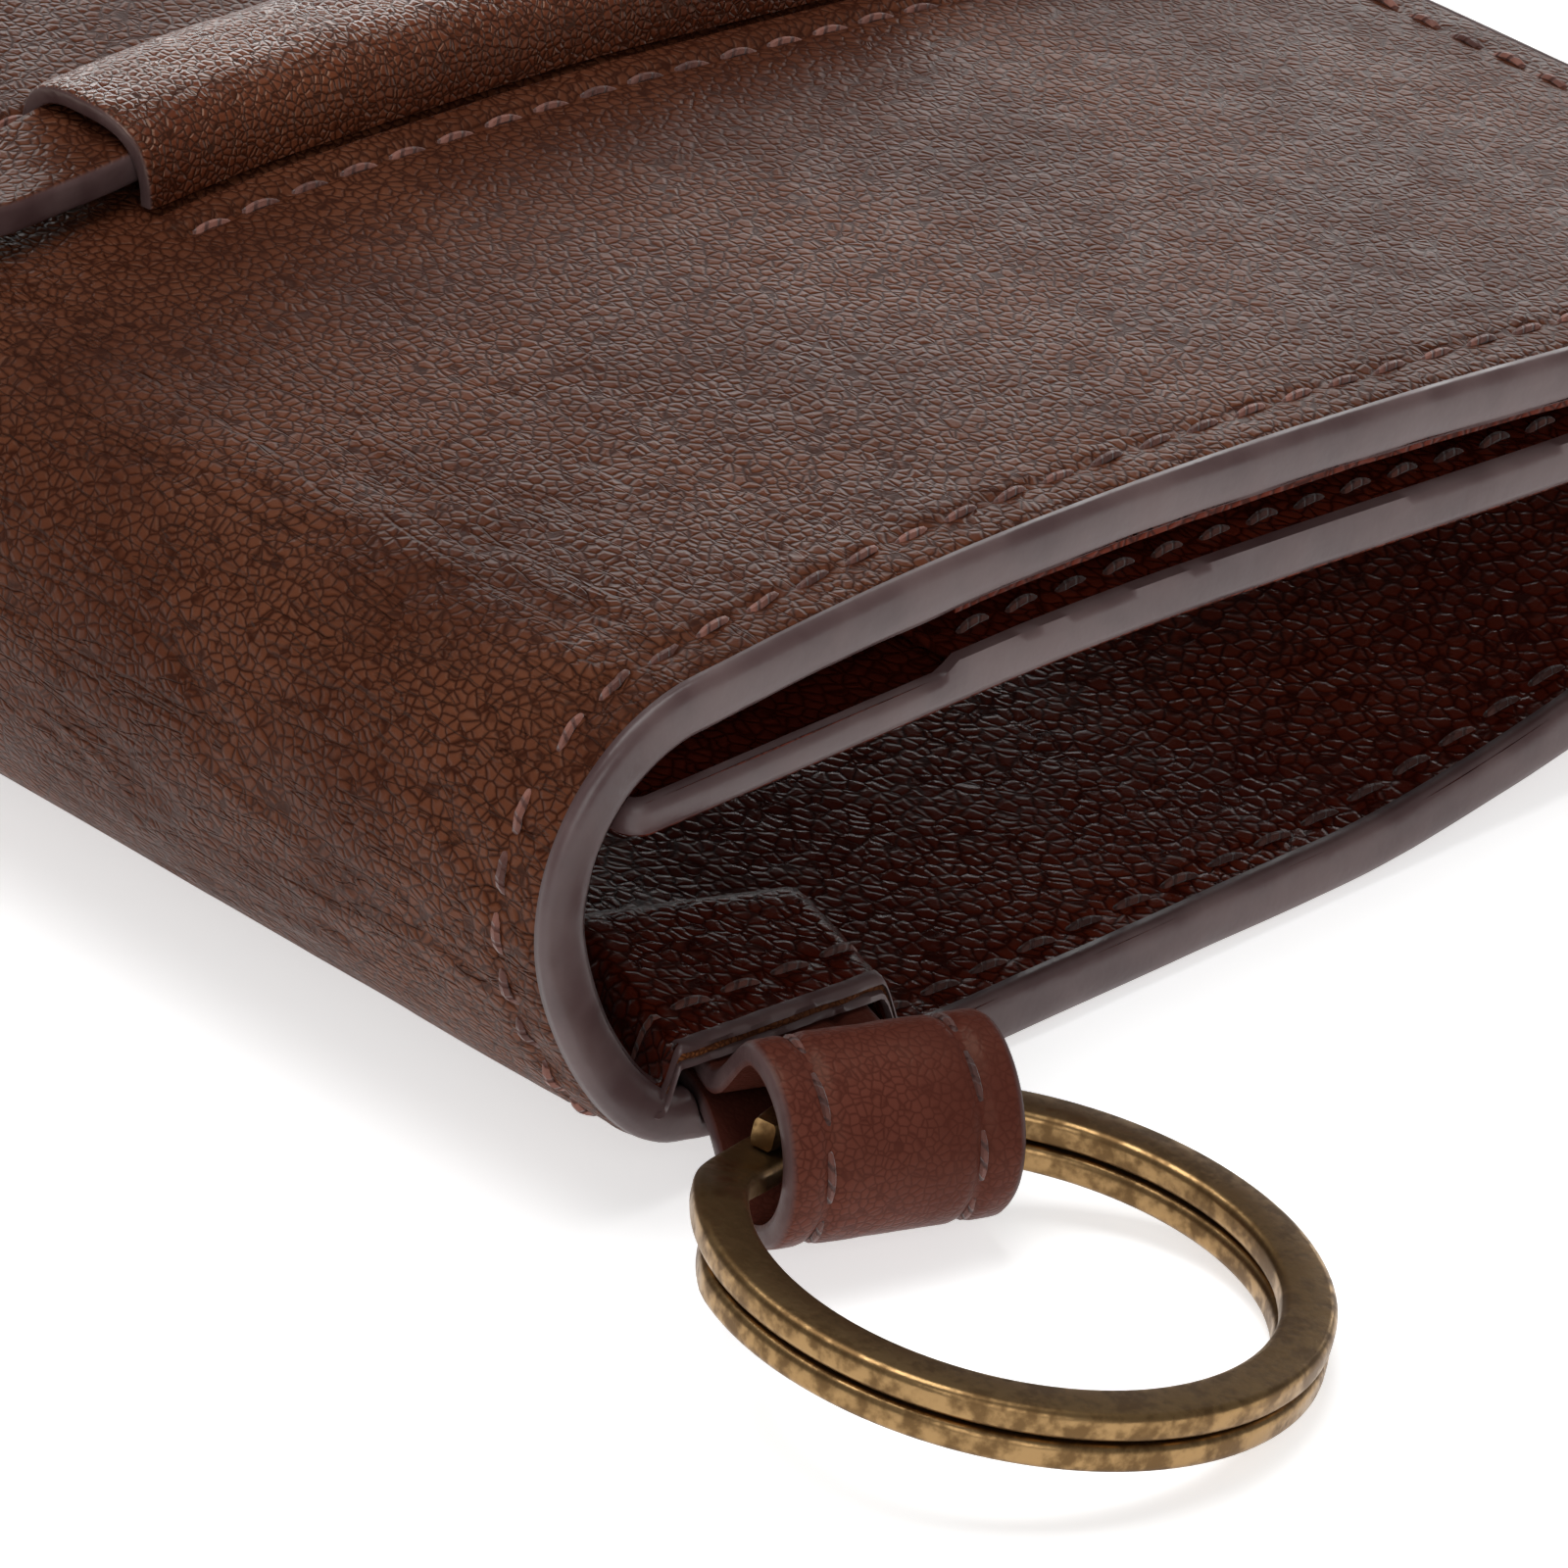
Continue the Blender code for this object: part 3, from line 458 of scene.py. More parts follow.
# the case's outline, walked from the back cover's open edge round to the front's
def topHeight(x):
    shape = caseShape
    inner = (shape["crest"] - x) / (shape["crest"] - shape["spineRadius"])
    outer = (x - shape["crest"]) / (width - shape["crest"])
    fall = shape["height"] - shape["openTop"]
    return shape["height"] - np.where(
        x < shape["crest"], shape["shoulderDrop"] * inner**2, fall * np.clip(outer, 0, None) ** 1.7
    )


def bottomHeight(x):
    shape = caseShape
    foot = np.clip((shape["bellyStart"] - x) / (shape["bellyStart"] - shape["footX"]), 0, None)
    rise = np.clip((x - shape["bellyEnd"]) / (width - shape["bellyEnd"]), 0, None)
    return shape["footZ"] * foot**1.5 + shape["openBottom"] * rise**1.5


def caseProfile():
    shape = caseShape
    radius = shape["spineRadius"]
    shoulderZ = shape["height"] - shape["shoulderDrop"]
    midZ = shoulderZ - radius
    footAngle = math.atan(1.5 * shape["footZ"] / (shape["bellyStart"] - shape["footX"]))
    handle = 0.54 * shape["footX"]
    backX = np.arange(width, shape["footX"], -0.2)
    points = list(zip(backX, bottomHeight(backX)))
    low = (shape["footX"] - handle * math.cos(footAngle), shape["footZ"] + handle * math.sin(footAngle))
    high = (0.0, midZ - 0.33 * (midZ - shape["footZ"]))
    corners = [(shape["footX"], shape["footZ"]), low, high, (0.0, midZ)]
    for t in np.linspace(0, 1, 60):
        weights = (1 - t) ** 3, 3 * (1 - t) ** 2 * t, 3 * (1 - t) * t**2, t**3
        points.append(tuple(sum(w * p[i] for w, p in zip(weights, corners)) for i in (0, 1)))
    for turn in np.linspace(0, math.radians(85), 60)[1:]:
        points.append((radius * (1 - math.cos(turn)), midZ + radius * math.sin(turn)))
    frontX = np.arange(radius + 0.2, width, 0.2)
    points += list(zip(frontX, topHeight(frontX)))
    points.append((width, float(topHeight(np.array(width)))))
    line = resample(points, 0.1, smooth=1.2)
    runs = np.r_[0, np.cumsum(np.linalg.norm(np.diff(line, axis=0), axis=1))]
    return runs, line, tangentsOf(line)


profileRuns, profileLine, profileTangents = caseProfile()
total = profileRuns[-1]


def onProfile(s):
    values = []
    for column in (*profileLine.T, *profileTangents.T):
        values.append(np.interp(s, profileRuns, column))
    return values


def stationNear(x, z):
    return profileRuns[np.argmin(np.hypot(profileLine[:, 0] - x, profileLine[:, 1] - z))]


footStation = stationNear(7.0, 2.0)
midStation = stationNear(0.0, 13.4)
shoulderStation = stationNear(8.9, 22.3)
lowerSplit = (footStation + midStation) / 2
upperSplit = (midStation + shoulderStation) / 2


def leatherPoint(s, y, depth, outS=0.0, outY=0.0):
    # a point that far in from the outer face, moved out along the sheet if asked
    x, z, alongX, alongZ = onProfile(s)
    pointX = x + alongX * outS + alongZ * depth
    pointZ = z + alongZ * outS - alongX * depth
    return np.stack(np.broadcast_arrays(pointX, y + outY, pointZ), -1)


def edgeDistance(s, y):
    a, b = np.minimum(s, total - s), np.minimum(y, length - y)
    u, v = np.clip(corner - a, 0, None), np.clip(corner - b, 0, None)
    return np.where((u > 0) & (v > 0), corner - np.hypot(u, v), np.minimum(a, b))


def endInset(s):
    a = np.clip(np.minimum(s, total - s), 0, corner)
    return corner - np.sqrt(corner**2 - (corner - a) ** 2)


# outer leather
leatherShape = {
    "thickness": 0.9,
    "edgeRoll": 0.34,  # how far the edge is pressed down
    "edgeRollWidth": 1.2,
    "seamInset": 2.6,
    "seamDepth": 0.22,
    "creaseDepth": 0.15,  # round the spine
    "wave": 0.10,
}
keeperShape = {
    "start": 17.0,
    "end": 60.0,
    "span": 8.6,
    "height": 3.67,
    "thickness": 0.85,
    "seamOffset": 2.2,
    "flangeRise": 0.16,
}


def alongStations():
    # rows of the covers' grids: fine at the open edges, and one exactly at each split
    turn = corner * (1 - np.cos(np.linspace(0, math.pi / 2, 12)))
    back = np.arange(corner, lowerSplit, 0.47)[1:]
    lower = np.linspace(lowerSplit, upperSplit, 36)
    upper = np.arange(upperSplit, total - corner, 0.47)[1:]
    return np.r_[turn, back, lower, upper, total - turn[::-1]]


def acrossStations():
    fine = np.arange(0, 6, 0.3)
    keeperSide = np.arange(40.6, 44.4, 0.2)
    half = np.r_[fine, np.arange(6, 40.6, 0.62), keeperSide, np.arange(44.4, 48, 0.72)]
    return np.r_[half, 48.0, length - half[::-1]] / length


def outerDepth(s, y):
    shape = leatherShape
    x = onProfile(s)[0]
    d = edgeDistance(s, y)
    depth = shape["edgeRoll"] * np.clip(1 - d / shape["edgeRollWidth"], 0, 1) ** 2
    seamWobble = 0.75 + 0.25 * np.cos(2 * math.pi * (s + y) / 2.6)
    depth = depth + shape["seamDepth"] * seamWobble * bump(d - shape["seamInset"], 0.36)
    depth = depth + 0.05 * bump(d - 1.5, 0.8)

    spine = bump(s - midStation - 3, 17) * (0.45 + 0.55 * bump(np.minimum(y, length - y), 30))
    ridge = 1 - np.abs(layeredNoise(s / 1.9 + 0.8 * softNoise(s / 5, y / 8, 5), y / 9.5, 11))
    depth = depth + shape["creaseDepth"] * spine * np.clip((ridge - 0.72) / 0.28, 0, 1) ** 1.5 * 1.6
    pucker = bump(d - shape["seamInset"], 2.2) * softNoise((s + y) / 0.9, d / 3.0, 31)
    depth = depth + 0.045 * pucker
    inside = ease((d - 2) / 8)
    depth = depth + shape["wave"] * inside * layeredNoise(s / 15, y / 17, 3)

    front = ease((s - shoulderStation) / 3)
    away = np.abs(y - length / 2)
    foot, seam = keeperShape["span"] / 2, keeperShape["span"] / 2 + keeperShape["seamOffset"]
    within = front * ease((x - keeperShape["start"] + 1.2) / 1.5) * ease((keeperShape["end"] + 1.2 - x) / 1.5)
    flange = ease((away - foot) / 0.5) * ease((seam - 0.1 - away) / 0.7)
    depth = depth - keeperShape["flangeRise"] * within * flange
    depth = depth + 0.30 * within * bump(away - foot - 0.12, 0.22)
    depth = depth + shape["seamDepth"] * 1.1 * within * bump(away - seam, 0.34)
    onTable = ease((x - 20) / 4) * ease((46 - x) / 4) * (s < footStation)
    return np.where(onTable > 0, depth * (1 - onTable) + np.clip(depth, 0, None) * onTable, depth)


rows, columns = alongStations(), acrossStations()
rowGrid = rows[:, None] + np.zeros((1, len(columns)))
insetGrid = endInset(rowGrid)
acrossGrid = insetGrid + (length - 2 * insetGrid) * columns[None, :]
lowerRow = int(np.argmin(abs(rows - lowerSplit)))
upperRow = int(np.argmin(abs(rows - upperSplit)))
coverParts = {
    "back": (0, lowerRow),
    "spine": (lowerRow, upperRow),
    "front": (upperRow, len(rows) - 1),
}


def makeCover(suffix, front, back, material, outward):
    made = {}
    _, _, normals = slab(front, back, outward)
    count = front.shape[0] * front.shape[1]
    frontNormals = normals[:count].reshape(front.shape)
    for part, (first, last) in coverParts.items():
        rowsTaken = slice(first, last + 1)
        some, someBack = front[rowsTaken], back[rowsTaken]
        piecePoints, faces, _ = slab(some, someBack, outward)
        own = frontNormals[rowsTaken].reshape(-1, 3)
        pieceNormals = np.concatenate([own, -own])
        name = part + suffix
        bend = np.repeat(bump(rows[rowsTaken] - midStation - 2, 17), some.shape[1])
        made[part] = makePiece(name, piecePoints, faces, material, pieceNormals, bend=np.tile(bend, 2))
    return made


outerFront = leatherPoint(rowGrid, acrossGrid, outerDepth(rowGrid, acrossGrid))
outerBack = leatherPoint(rowGrid, acrossGrid, leatherShape["thickness"])
outerPieces = makeCover("Leather", outerFront, outerBack, outerLeather, 1.0)
print("outer leather made", outerFront.shape)


# ring tab, with the lining raised over it
tabShape = {
    "x": 12.3,
    "skew": 18.0,  # degrees towards the spine
    "tilt": 4.5,
    "rootWidth": 8.0,
    "noseWidth": 9.8,
    "rootLength": 9.0,
    "flareStart": 1.6,
    "rootZ": 3.2,
    "thickness": 1.0,
    "plyGap": 0.3,
    "pivotOut": 7.25,
    "pivotZ": 4.75,
    "loopRadius": 3.765,
    "stitchInset": 1.7,
}
tabMatrix = (
    Matrix.Translation((tabShape["x"], 0, 0))
    @ Matrix.Rotation(-math.radians(tabShape["skew"]), 4, "Z")
    @ Matrix.Scale(-1, 4, (0, 1, 0))
    @ Matrix.Rotation(math.radians(tabShape["tilt"]), 4, "Y")
)
tabArray = np.array(tabMatrix)
tabInverse = np.array(tabMatrix.inverted())


def fromTab(points):
    points = np.asarray(points, float)
    return points @ tabArray[:3, :3].T + tabArray[:3, 3]


def tabLift(x, y):
    # how far the lining stands up over the two sewn plies
    acrossTab = tabInverse[0, 0] * x + tabInverse[0, 1] * y + tabInverse[0, 3]
    outTab = tabInverse[1, 0] * x + tabInverse[1, 1] * y + tabInverse[1, 3]
    shape = tabShape
    top = shape["rootZ"] + 1.5 * shape["thickness"] + shape["plyGap"]
    top = top - acrossTab * math.sin(math.radians(shape["tilt"]))
    needed = top + 0.25 - bottomHeight(x) - 1.2
    sideways = ease((shape["rootWidth"] / 2 + 2.3 - np.abs(acrossTab)) / 1.4)
    inwards = ease((shape["rootLength"] + 6.5 + outTab) / 6.5)
    return needed * sideways * inwards * ease((x - 5.2) / 1.8)


liningShape = {"start": 1.2, "end": 1.9, "edgeEnd": 2.25, "crinkle": 0.05}


def liningDepth(s, y):
    shape = liningShape
    d = edgeDistance(s, y)
    x = onProfile(s)[0]
    overTab = np.where(s < midStation, ease(tabLift(x, y) / 0.8), 0.0)
    edge = np.clip(1 - d / 1.6, 0, 1) ** 2 * (1 - overTab)
    depth = shape["end"] + (shape["edgeEnd"] - shape["end"]) * edge
    depth = depth - 0.10 * bump(d - 2.6, 0.4)
    folds = 1 - np.abs(layeredNoise(s / 2.4 + softNoise(s / 6, y / 6, 8), y / 5.0, 21))
    crinkle = shape["crinkle"] * (folds * 0.8 + 0.5 * layeredNoise(s / 1.3, y / 2.2, 27))
    return depth + crinkle * ease(d / 2)


def lifted(points, s):
    points = points.copy()
    points[..., 2] += np.where(s < midStation, tabLift(points[..., 0], points[..., 1]), 0.0)
    return points


liningFront = lifted(leatherPoint(rowGrid, acrossGrid, liningDepth(rowGrid, acrossGrid)), rowGrid)
liningBack = lifted(leatherPoint(rowGrid, acrossGrid, liningShape["start"] - 0.1), rowGrid)
liningPieces = makeCover("Lining", liningFront, liningBack, liningLeather, -1.0)
print("lining made")


# painted edges
edgeShape = {
    # (out from the edge, in from the outer face), in mm
    "section": [
        (-0.42, 0.10), (-0.12, 0.17), (0.08, 0.34), (0.20, 0.66), (0.25, 1.10),
        (0.22, 1.62), (0.12, 2.08), (-0.10, 2.38), (-0.62, 2.46), (-0.80, 1.9), (-0.75, 0.6),
    ],
    "wobble": 0.10,
}


def perimeter(inset, side, split, step=0.5):
    # round one cover's three free edges: side 1 is the front cover, -1 the back
    radius = corner - inset
    start = total - split if side == 1 else split
    straight = np.arange(start, corner, -step)
    turns = np.linspace(0, math.pi / 2, 14)
    a = [straight, corner - radius * np.sin(turns), np.full(160, inset, float)]
    y = [np.full(len(straight), inset, float), corner - radius * np.cos(turns)]
    y.append(np.linspace(corner, length - corner, 162)[1:-1])
    outA = [np.zeros(len(straight)), np.sin(turns), np.ones(160)]
    outY = [-np.ones(len(straight)), -np.cos(turns), np.zeros(160)]
    for values in (a, outA):
        values += [values[1][::-1], values[0][::-1]]
    y += [length - y[1][::-1], length - y[0][::-1]]
    outY += [-outY[1][::-1], -outY[0][::-1]]
    a, y, outA, outY = (np.concatenate(values) for values in (a, y, outA, outY))
    s = total - a if side == 1 else a
    return s, y, outA * side, outY


def tabShare(s, y):
    # 1 where the near edge of the back cover runs under the tab
    x = onProfile(s)[0]
    return ease((x - 7.2) / 0.8) * ease((18.2 - x) / 0.9) * (s < footStation + 0.5) * (y < 1.5)


def bandPart(s, y, outS, outY, section, seed):
    under = tabShare(s, y)
    sections = []
    for number, (out, depth) in enumerate(section):
        wobble = edgeShape["wobble"] * layeredNoise((s + y) / 4.5, number / 2.7, seed)
        reach = out + wobble * (0.6 if out > -0.4 else 0.2)
        level = depth * (1 - under) + (0.12 + depth * 0.36) * under + wobble * 0.5 * (depth > 1.8)
        sections.append(leatherPoint(s, y, level, outS * reach, outY * reach))
    return np.stack(sections, 1)


def loftNormals(parts):
    # each point's own direction, so that a band reads as one where two pieces of it meet
    found = []
    for sections, _ in parts:
        wrapped = np.concatenate([sections[:, -1:], sections, sections[:, :1]], 1)
        normals = gridNormals(wrapped)[:, 1:-1]
        outward = sections - sections.mean(1, keepdims=True)
        normals *= np.sign((normals * outward).sum())
        found.append(normals.reshape(-1, 3))
    return np.concatenate(found)


def bandPiece(name, paths, seed):
    parts = []
    for path in paths:
        sections = bandPart(*path, edgeShape["section"], seed)
        parts.append((sections, loftFaces(*sections.shape[:2])))
    return makePiece(name, *join(parts), edgePaint, loftNormals(parts))


spineRun = np.linspace(lowerSplit, upperSplit, 40)
edgePieces = {
    "back": bandPiece("backEdge", [perimeter(0.0, -1, lowerSplit)], 43),
    "front": bandPiece("frontEdge", [perimeter(0.0, 1, upperSplit)], 43),
}
flat = np.zeros(40)
spineParts = []
for y, out in ((0.0, -1.0), (length, 1.0)):
    sections = bandPart(spineRun, flat + y, flat, flat + out, edgeShape["section"], 43)
    spineParts.append((sections, loftFaces(*sections.shape[:2])))
edgePieces["spine"] = makePiece("spineEdge", *join(spineParts), edgePaint, loftNormals(spineParts))

# the lining's own cut edge, raised over the tab: painted lips with raw leather between
rawS = np.linspace(stationNear(18.4, 0.2), footStation + 2.4, 80)


def raisedEdge(name, section, material, seed):
    parts = []
    for number, (out, depth) in enumerate(section):
        wobble = 0.16 * layeredNoise(rawS / 1.6, number / 2.0, seed)
        line = leatherPoint(rawS, 0.0 * rawS, depth + wobble * 0.4, 0.0 * rawS, -(out + wobble))
        parts.append(lifted(line, rawS))
    sections = np.stack(parts, 1)
    return makePiece(name, sections.reshape(-1, 3), loftFaces(*sections.shape[:2]), material)


raisedShape = {
    # (out from the edge, in from the outer face), in mm
    "raw": [(-0.3, 1.26), (0.06, 1.30), (0.14, 1.45), (0.12, 1.62), (0.02, 1.74), (-0.3, 1.76)],
    "upper": [(-0.5, 1.70), (0.06, 1.68), (0.28, 1.78), (0.24, 1.96), (0.02, 2.06), (-0.5, 2.00)],
    "lower": [(-0.4, 0.98), (0.06, 0.98), (0.28, 1.12), (0.24, 1.34), (0.02, 1.42), (-0.4, 1.40)],
}
rawCore = raisedEdge("liningRawEdge", raisedShape["raw"], rawLeather, 51)
upperLip = raisedEdge("liningUpperLip", raisedShape["upper"], edgePaint, 52)
lowerLip = raisedEdge("liningLowerLip", raisedShape["lower"], edgePaint, 53)
print("edges made")


# stitches
stitchShape = {
    "pitch": 2.6,
    "length": 2.30,
    "radius": 0.205,
    "rise": 0.12,  # middle of a stitch over the leather
    "sink": -0.34,  # its ends, in their holes
    "slant": 0.15,
    "sides": 6,
    "sections": 8,
}


def stitchRun(path, normals, look=stitchShape, turn=1.0, startAt=0.0):
    # separate twisted stitches laid along a line of points
    runs = np.r_[0, np.cumsum(np.linalg.norm(np.diff(path, axis=0), axis=1))]
    tangents = tangentsOf(path)
    t = np.linspace(0, 1, look["sections"])
    arch = np.sin(math.pi * t) ** 0.55
    angles = np.linspace(0, 2 * math.pi, look["sides"], endpoint=False)
    parts = []
    at = startAt
    number = 0
    while at + look["length"] <= runs[-1]:
        where = at + look["length"] * t
        centre, normal, along = (
            np.stack([np.interp(where, runs, column) for column in values.T], -1)
            for values in (path, normals, tangents)
        )
        side = np.cross(normal, along)
        side /= np.linalg.norm(side, axis=1, keepdims=True)
        wander = 0.03 * math.sin(number * 2.4)
        height = look["sink"] + (look["rise"] + wander - look["sink"]) * arch
        centre = centre + normal * height[:, None] + side * (look["slant"] * turn * (t - 0.5) * 2)[:, None]
        radius = look["radius"] * (0.6 + 0.4 * arch)[:, None] + 0 * angles
        ring = centre[:, None] + radius[..., None] * (
            np.cos(angles)[None, :, None] * side[:, None] + np.sin(angles)[None, :, None] * normal[:, None]
        )
        parts.append((ring, loftFaces(*ring.shape[:2])))
        at += look["pitch"]
        number += 1
    return parts


def stitchPiece(name, parts, thread):
    # each point's place along and round its stitch, which the thread's twist reads
    sides, sections = stitchShape["sides"], stitchShape["sections"]
    oneRound = np.linspace(0, 2 * math.pi, sides, endpoint=False)
    turns = np.tile(oneRound, sections * len(parts))
    along = np.tile(np.repeat(np.linspace(0, stitchShape["length"], sections), sides), len(parts))
    return makePiece(name, *join(parts), thread, along=along, upper=np.sin(turns), aside=np.cos(turns))


def coverSeam(s, y, inner=False):
    # a seam's line on the leather, with the way out of it
    line = leatherPoint(s, y, liningDepth(s, y) if inner else outerDepth(s, y))
    if inner:
        line = lifted(line, s)
    x, z, alongX, alongZ = onProfile(s)
    out = np.stack([-alongZ, 0 * alongX, alongX], -1)
    return line, -out if inner else out


def seamParts(path, inner):
    s, y = path[0], path[1]
    return stitchRun(*coverSeam(s, y, inner), turn=-1.0 if inner else 1.0, startAt=0.25)


inset = leatherShape["seamInset"]
seamPieces, innerSeams = {}, {}
spinePaths = [(np.linspace(lowerSplit, upperSplit, 60), np.full(60, y)) for y in (inset, length - inset)]
seamPaths = {
    "back": [perimeter(inset, -1, lowerSplit, step=0.3)],
    "spine": spinePaths,
    "front": [perimeter(inset, 1, upperSplit, step=0.3)],
}
for part, paths in seamPaths.items():
    outside = [stitch for path in paths for stitch in seamParts(path, False)]
    inside = [stitch for path in paths for stitch in seamParts(path, True)]
    seamPieces[part] = stitchPiece(part + "Stitches", outside, waxedThread)
    innerSeams[part] = stitchPiece(part + "InnerStitches", inside, darkThread)
print("stitches made")


# keeper
def keeperRing(x, angles, out):
    shape = keeperShape
    half, height = shape["span"] / 2 + out, shape["height"] + out
    c, s = np.cos(angles), np.sin(angles)
    y = half * np.sign(c) * np.abs(c) ** 0.62
    z = height * np.abs(s) ** 0.72
    return y, z


def makeKeeper():
    shape = keeperShape
    stations = np.r_[
        shape["start"] + 0.45 * (1 - np.cos(np.linspace(0, math.pi / 2, 5))),
        np.arange(shape["start"] + 0.9, shape["end"] - 0.8, 0.6),
        shape["end"] - 0.45 * (1 - np.cos(np.linspace(math.pi / 2, 0, 5))),
    ]
    angles = np.linspace(-0.02, math.pi + 0.02, 46)
    sections, paint = [], []
    for x in stations:
        near = min(x - shape["start"], shape["end"] - x)
        roll = 0.20 * (1 - math.sqrt(1 - (1 - min(near, 0.45) / 0.45) ** 2)) if near < 0.45 else 0.0
        sway = 0.06 * math.sin(x * 0.35)
        y, z = keeperRing(x, angles, -roll)
        grain = 0.05 * layeredNoise(x / 3.0, angles * 2.4, 61)
        innerY, innerZ = keeperRing(x, angles[::-1], -shape["thickness"] + roll)
        top = float(topHeight(np.array(x)))
        outerZ = top - 0.25 + (z + 0.25) * (1 + grain * 0.3)
        outer = np.stack([np.full(46, x), length / 2 + y + sway, outerZ], -1)
        inner = np.stack([np.full(46, x), length / 2 + innerY + sway, top - 0.25 + innerZ + 0.25], -1)
        sections.append(np.concatenate([outer, inner]))
        paint.append(np.full(92, 1.0 if near < 0.06 else 0.0))
    sections = np.array(sections)
    faces = loftFaces(*sections.shape[:2])[:-2]
    count, size = sections.shape[:2]
    for row, flip in ((0, False), (count - 1, True)):  # each end's face, the leather's cut edge
        for i in range(45):
            quad = [row * size + i, row * size + i + 1, row * size + size - 2 - i, row * size + size - 1 - i]
            faces.append(quad[::-1] if flip else quad)
    return makePiece("keeperArch", sections.reshape(-1, 3), faces, keeperLeather, paint=np.concatenate(paint))


keeperArch = makeKeeper()
keeperX = np.linspace(keeperShape["start"] + 0.2, keeperShape["end"] - 0.2, 160)
frontHalf = profileRuns > shoulderStation
keeperS = np.interp(keeperX, profileLine[frontHalf][:, 0], profileRuns[frontHalf])
keeperSeam = []
for away in (-1, 1):
    y = length / 2 + away * (keeperShape["span"] / 2 + keeperShape["seamOffset"])
    keeperSeam += stitchRun(*coverSeam(keeperS, np.full(160, y)), turn=-1.0)
keeperStitches = stitchPiece("keeperStitches", keeperSeam, waxedThread)
print("keeper made")


# card pocket
pocketShape = {
    "mouth": 4.8,
    "mouthCorner": 0.9,
    "end": 76.0,
    "depth": 6.4,  # crest of the cover to the panel's lower face
    "thickness": 1.0,
    "edgeThickness": 1.45,
    "gussetStart": 18.5,
    "gussetEnd": 65.0,
    "fold": 5.0,
    "leafThickness": 0.45,
    "sewnCorner": 2.5,
}


def panelHeight(x):
    sewn = topHeight(np.array(pocketShape["end"])) - 3.2
    free = caseShape["height"] - pocketShape["depth"]
    return free + (sewn - free) * ease((x - caseShape["crest"]) / (width - caseShape["crest"] - 12))


def panelInset(x):
    corner = pocketShape["mouthCorner"]
    mouth = np.clip(corner - (x - pocketShape["mouth"]), 0, corner)
    sewnCorner = pocketShape["sewnCorner"]
    sewn = np.clip(sewnCorner - (pocketShape["end"] - x), 0, sewnCorner)
    return np.maximum(corner - np.sqrt(corner**2 - mouth**2), sewnCorner - np.sqrt(sewnCorner**2 - sewn**2))


def makePanel():
    shape = pocketShape
    x = np.r_[
        shape["mouth"] + shape["mouthCorner"] * (1 - np.cos(np.linspace(0, math.pi / 2, 8))),
        np.arange(shape["mouth"] + shape["mouthCorner"] + 0.5, shape["end"] - 2.6, 0.6),
        shape["end"] - shape["sewnCorner"] * (1 - np.cos(np.linspace(math.pi / 2, 0, 8))),
    ]
    shares = acrossStations()[::2]
    xGrid = x[:, None] + 0 * shares[None, :]
    inset = panelInset(xGrid)
    yGrid = inset + (length - 2 * inset) * shares[None, :]
    fromEnds = np.minimum(xGrid - shape["mouth"], shape["end"] - xGrid)
    d = np.minimum(fromEnds, np.minimum(yGrid, length - yGrid))
    swell = (shape["edgeThickness"] - shape["thickness"]) * np.clip(1 - d / 1.4, 0, 1) ** 2
    crinkle = 0.05 * layeredNoise(xGrid / 2.2, yGrid / 4.0, 71) * ease(d / 2)
    base = panelHeight(xGrid)
    lower = np.stack([xGrid, yGrid, base - swell * 0.3 - crinkle + 0.08 * bump(d - 2.6, 0.35)], -1)
    upper = np.stack([xGrid, yGrid, base + shape["thickness"] + swell * 0.7 + crinkle], -1)
    points, faces, normals = slab(lower, upper, 1.0)
    return makePiece("pocketPanel", points, faces, liningLeather, paint=np.zeros(len(points)))


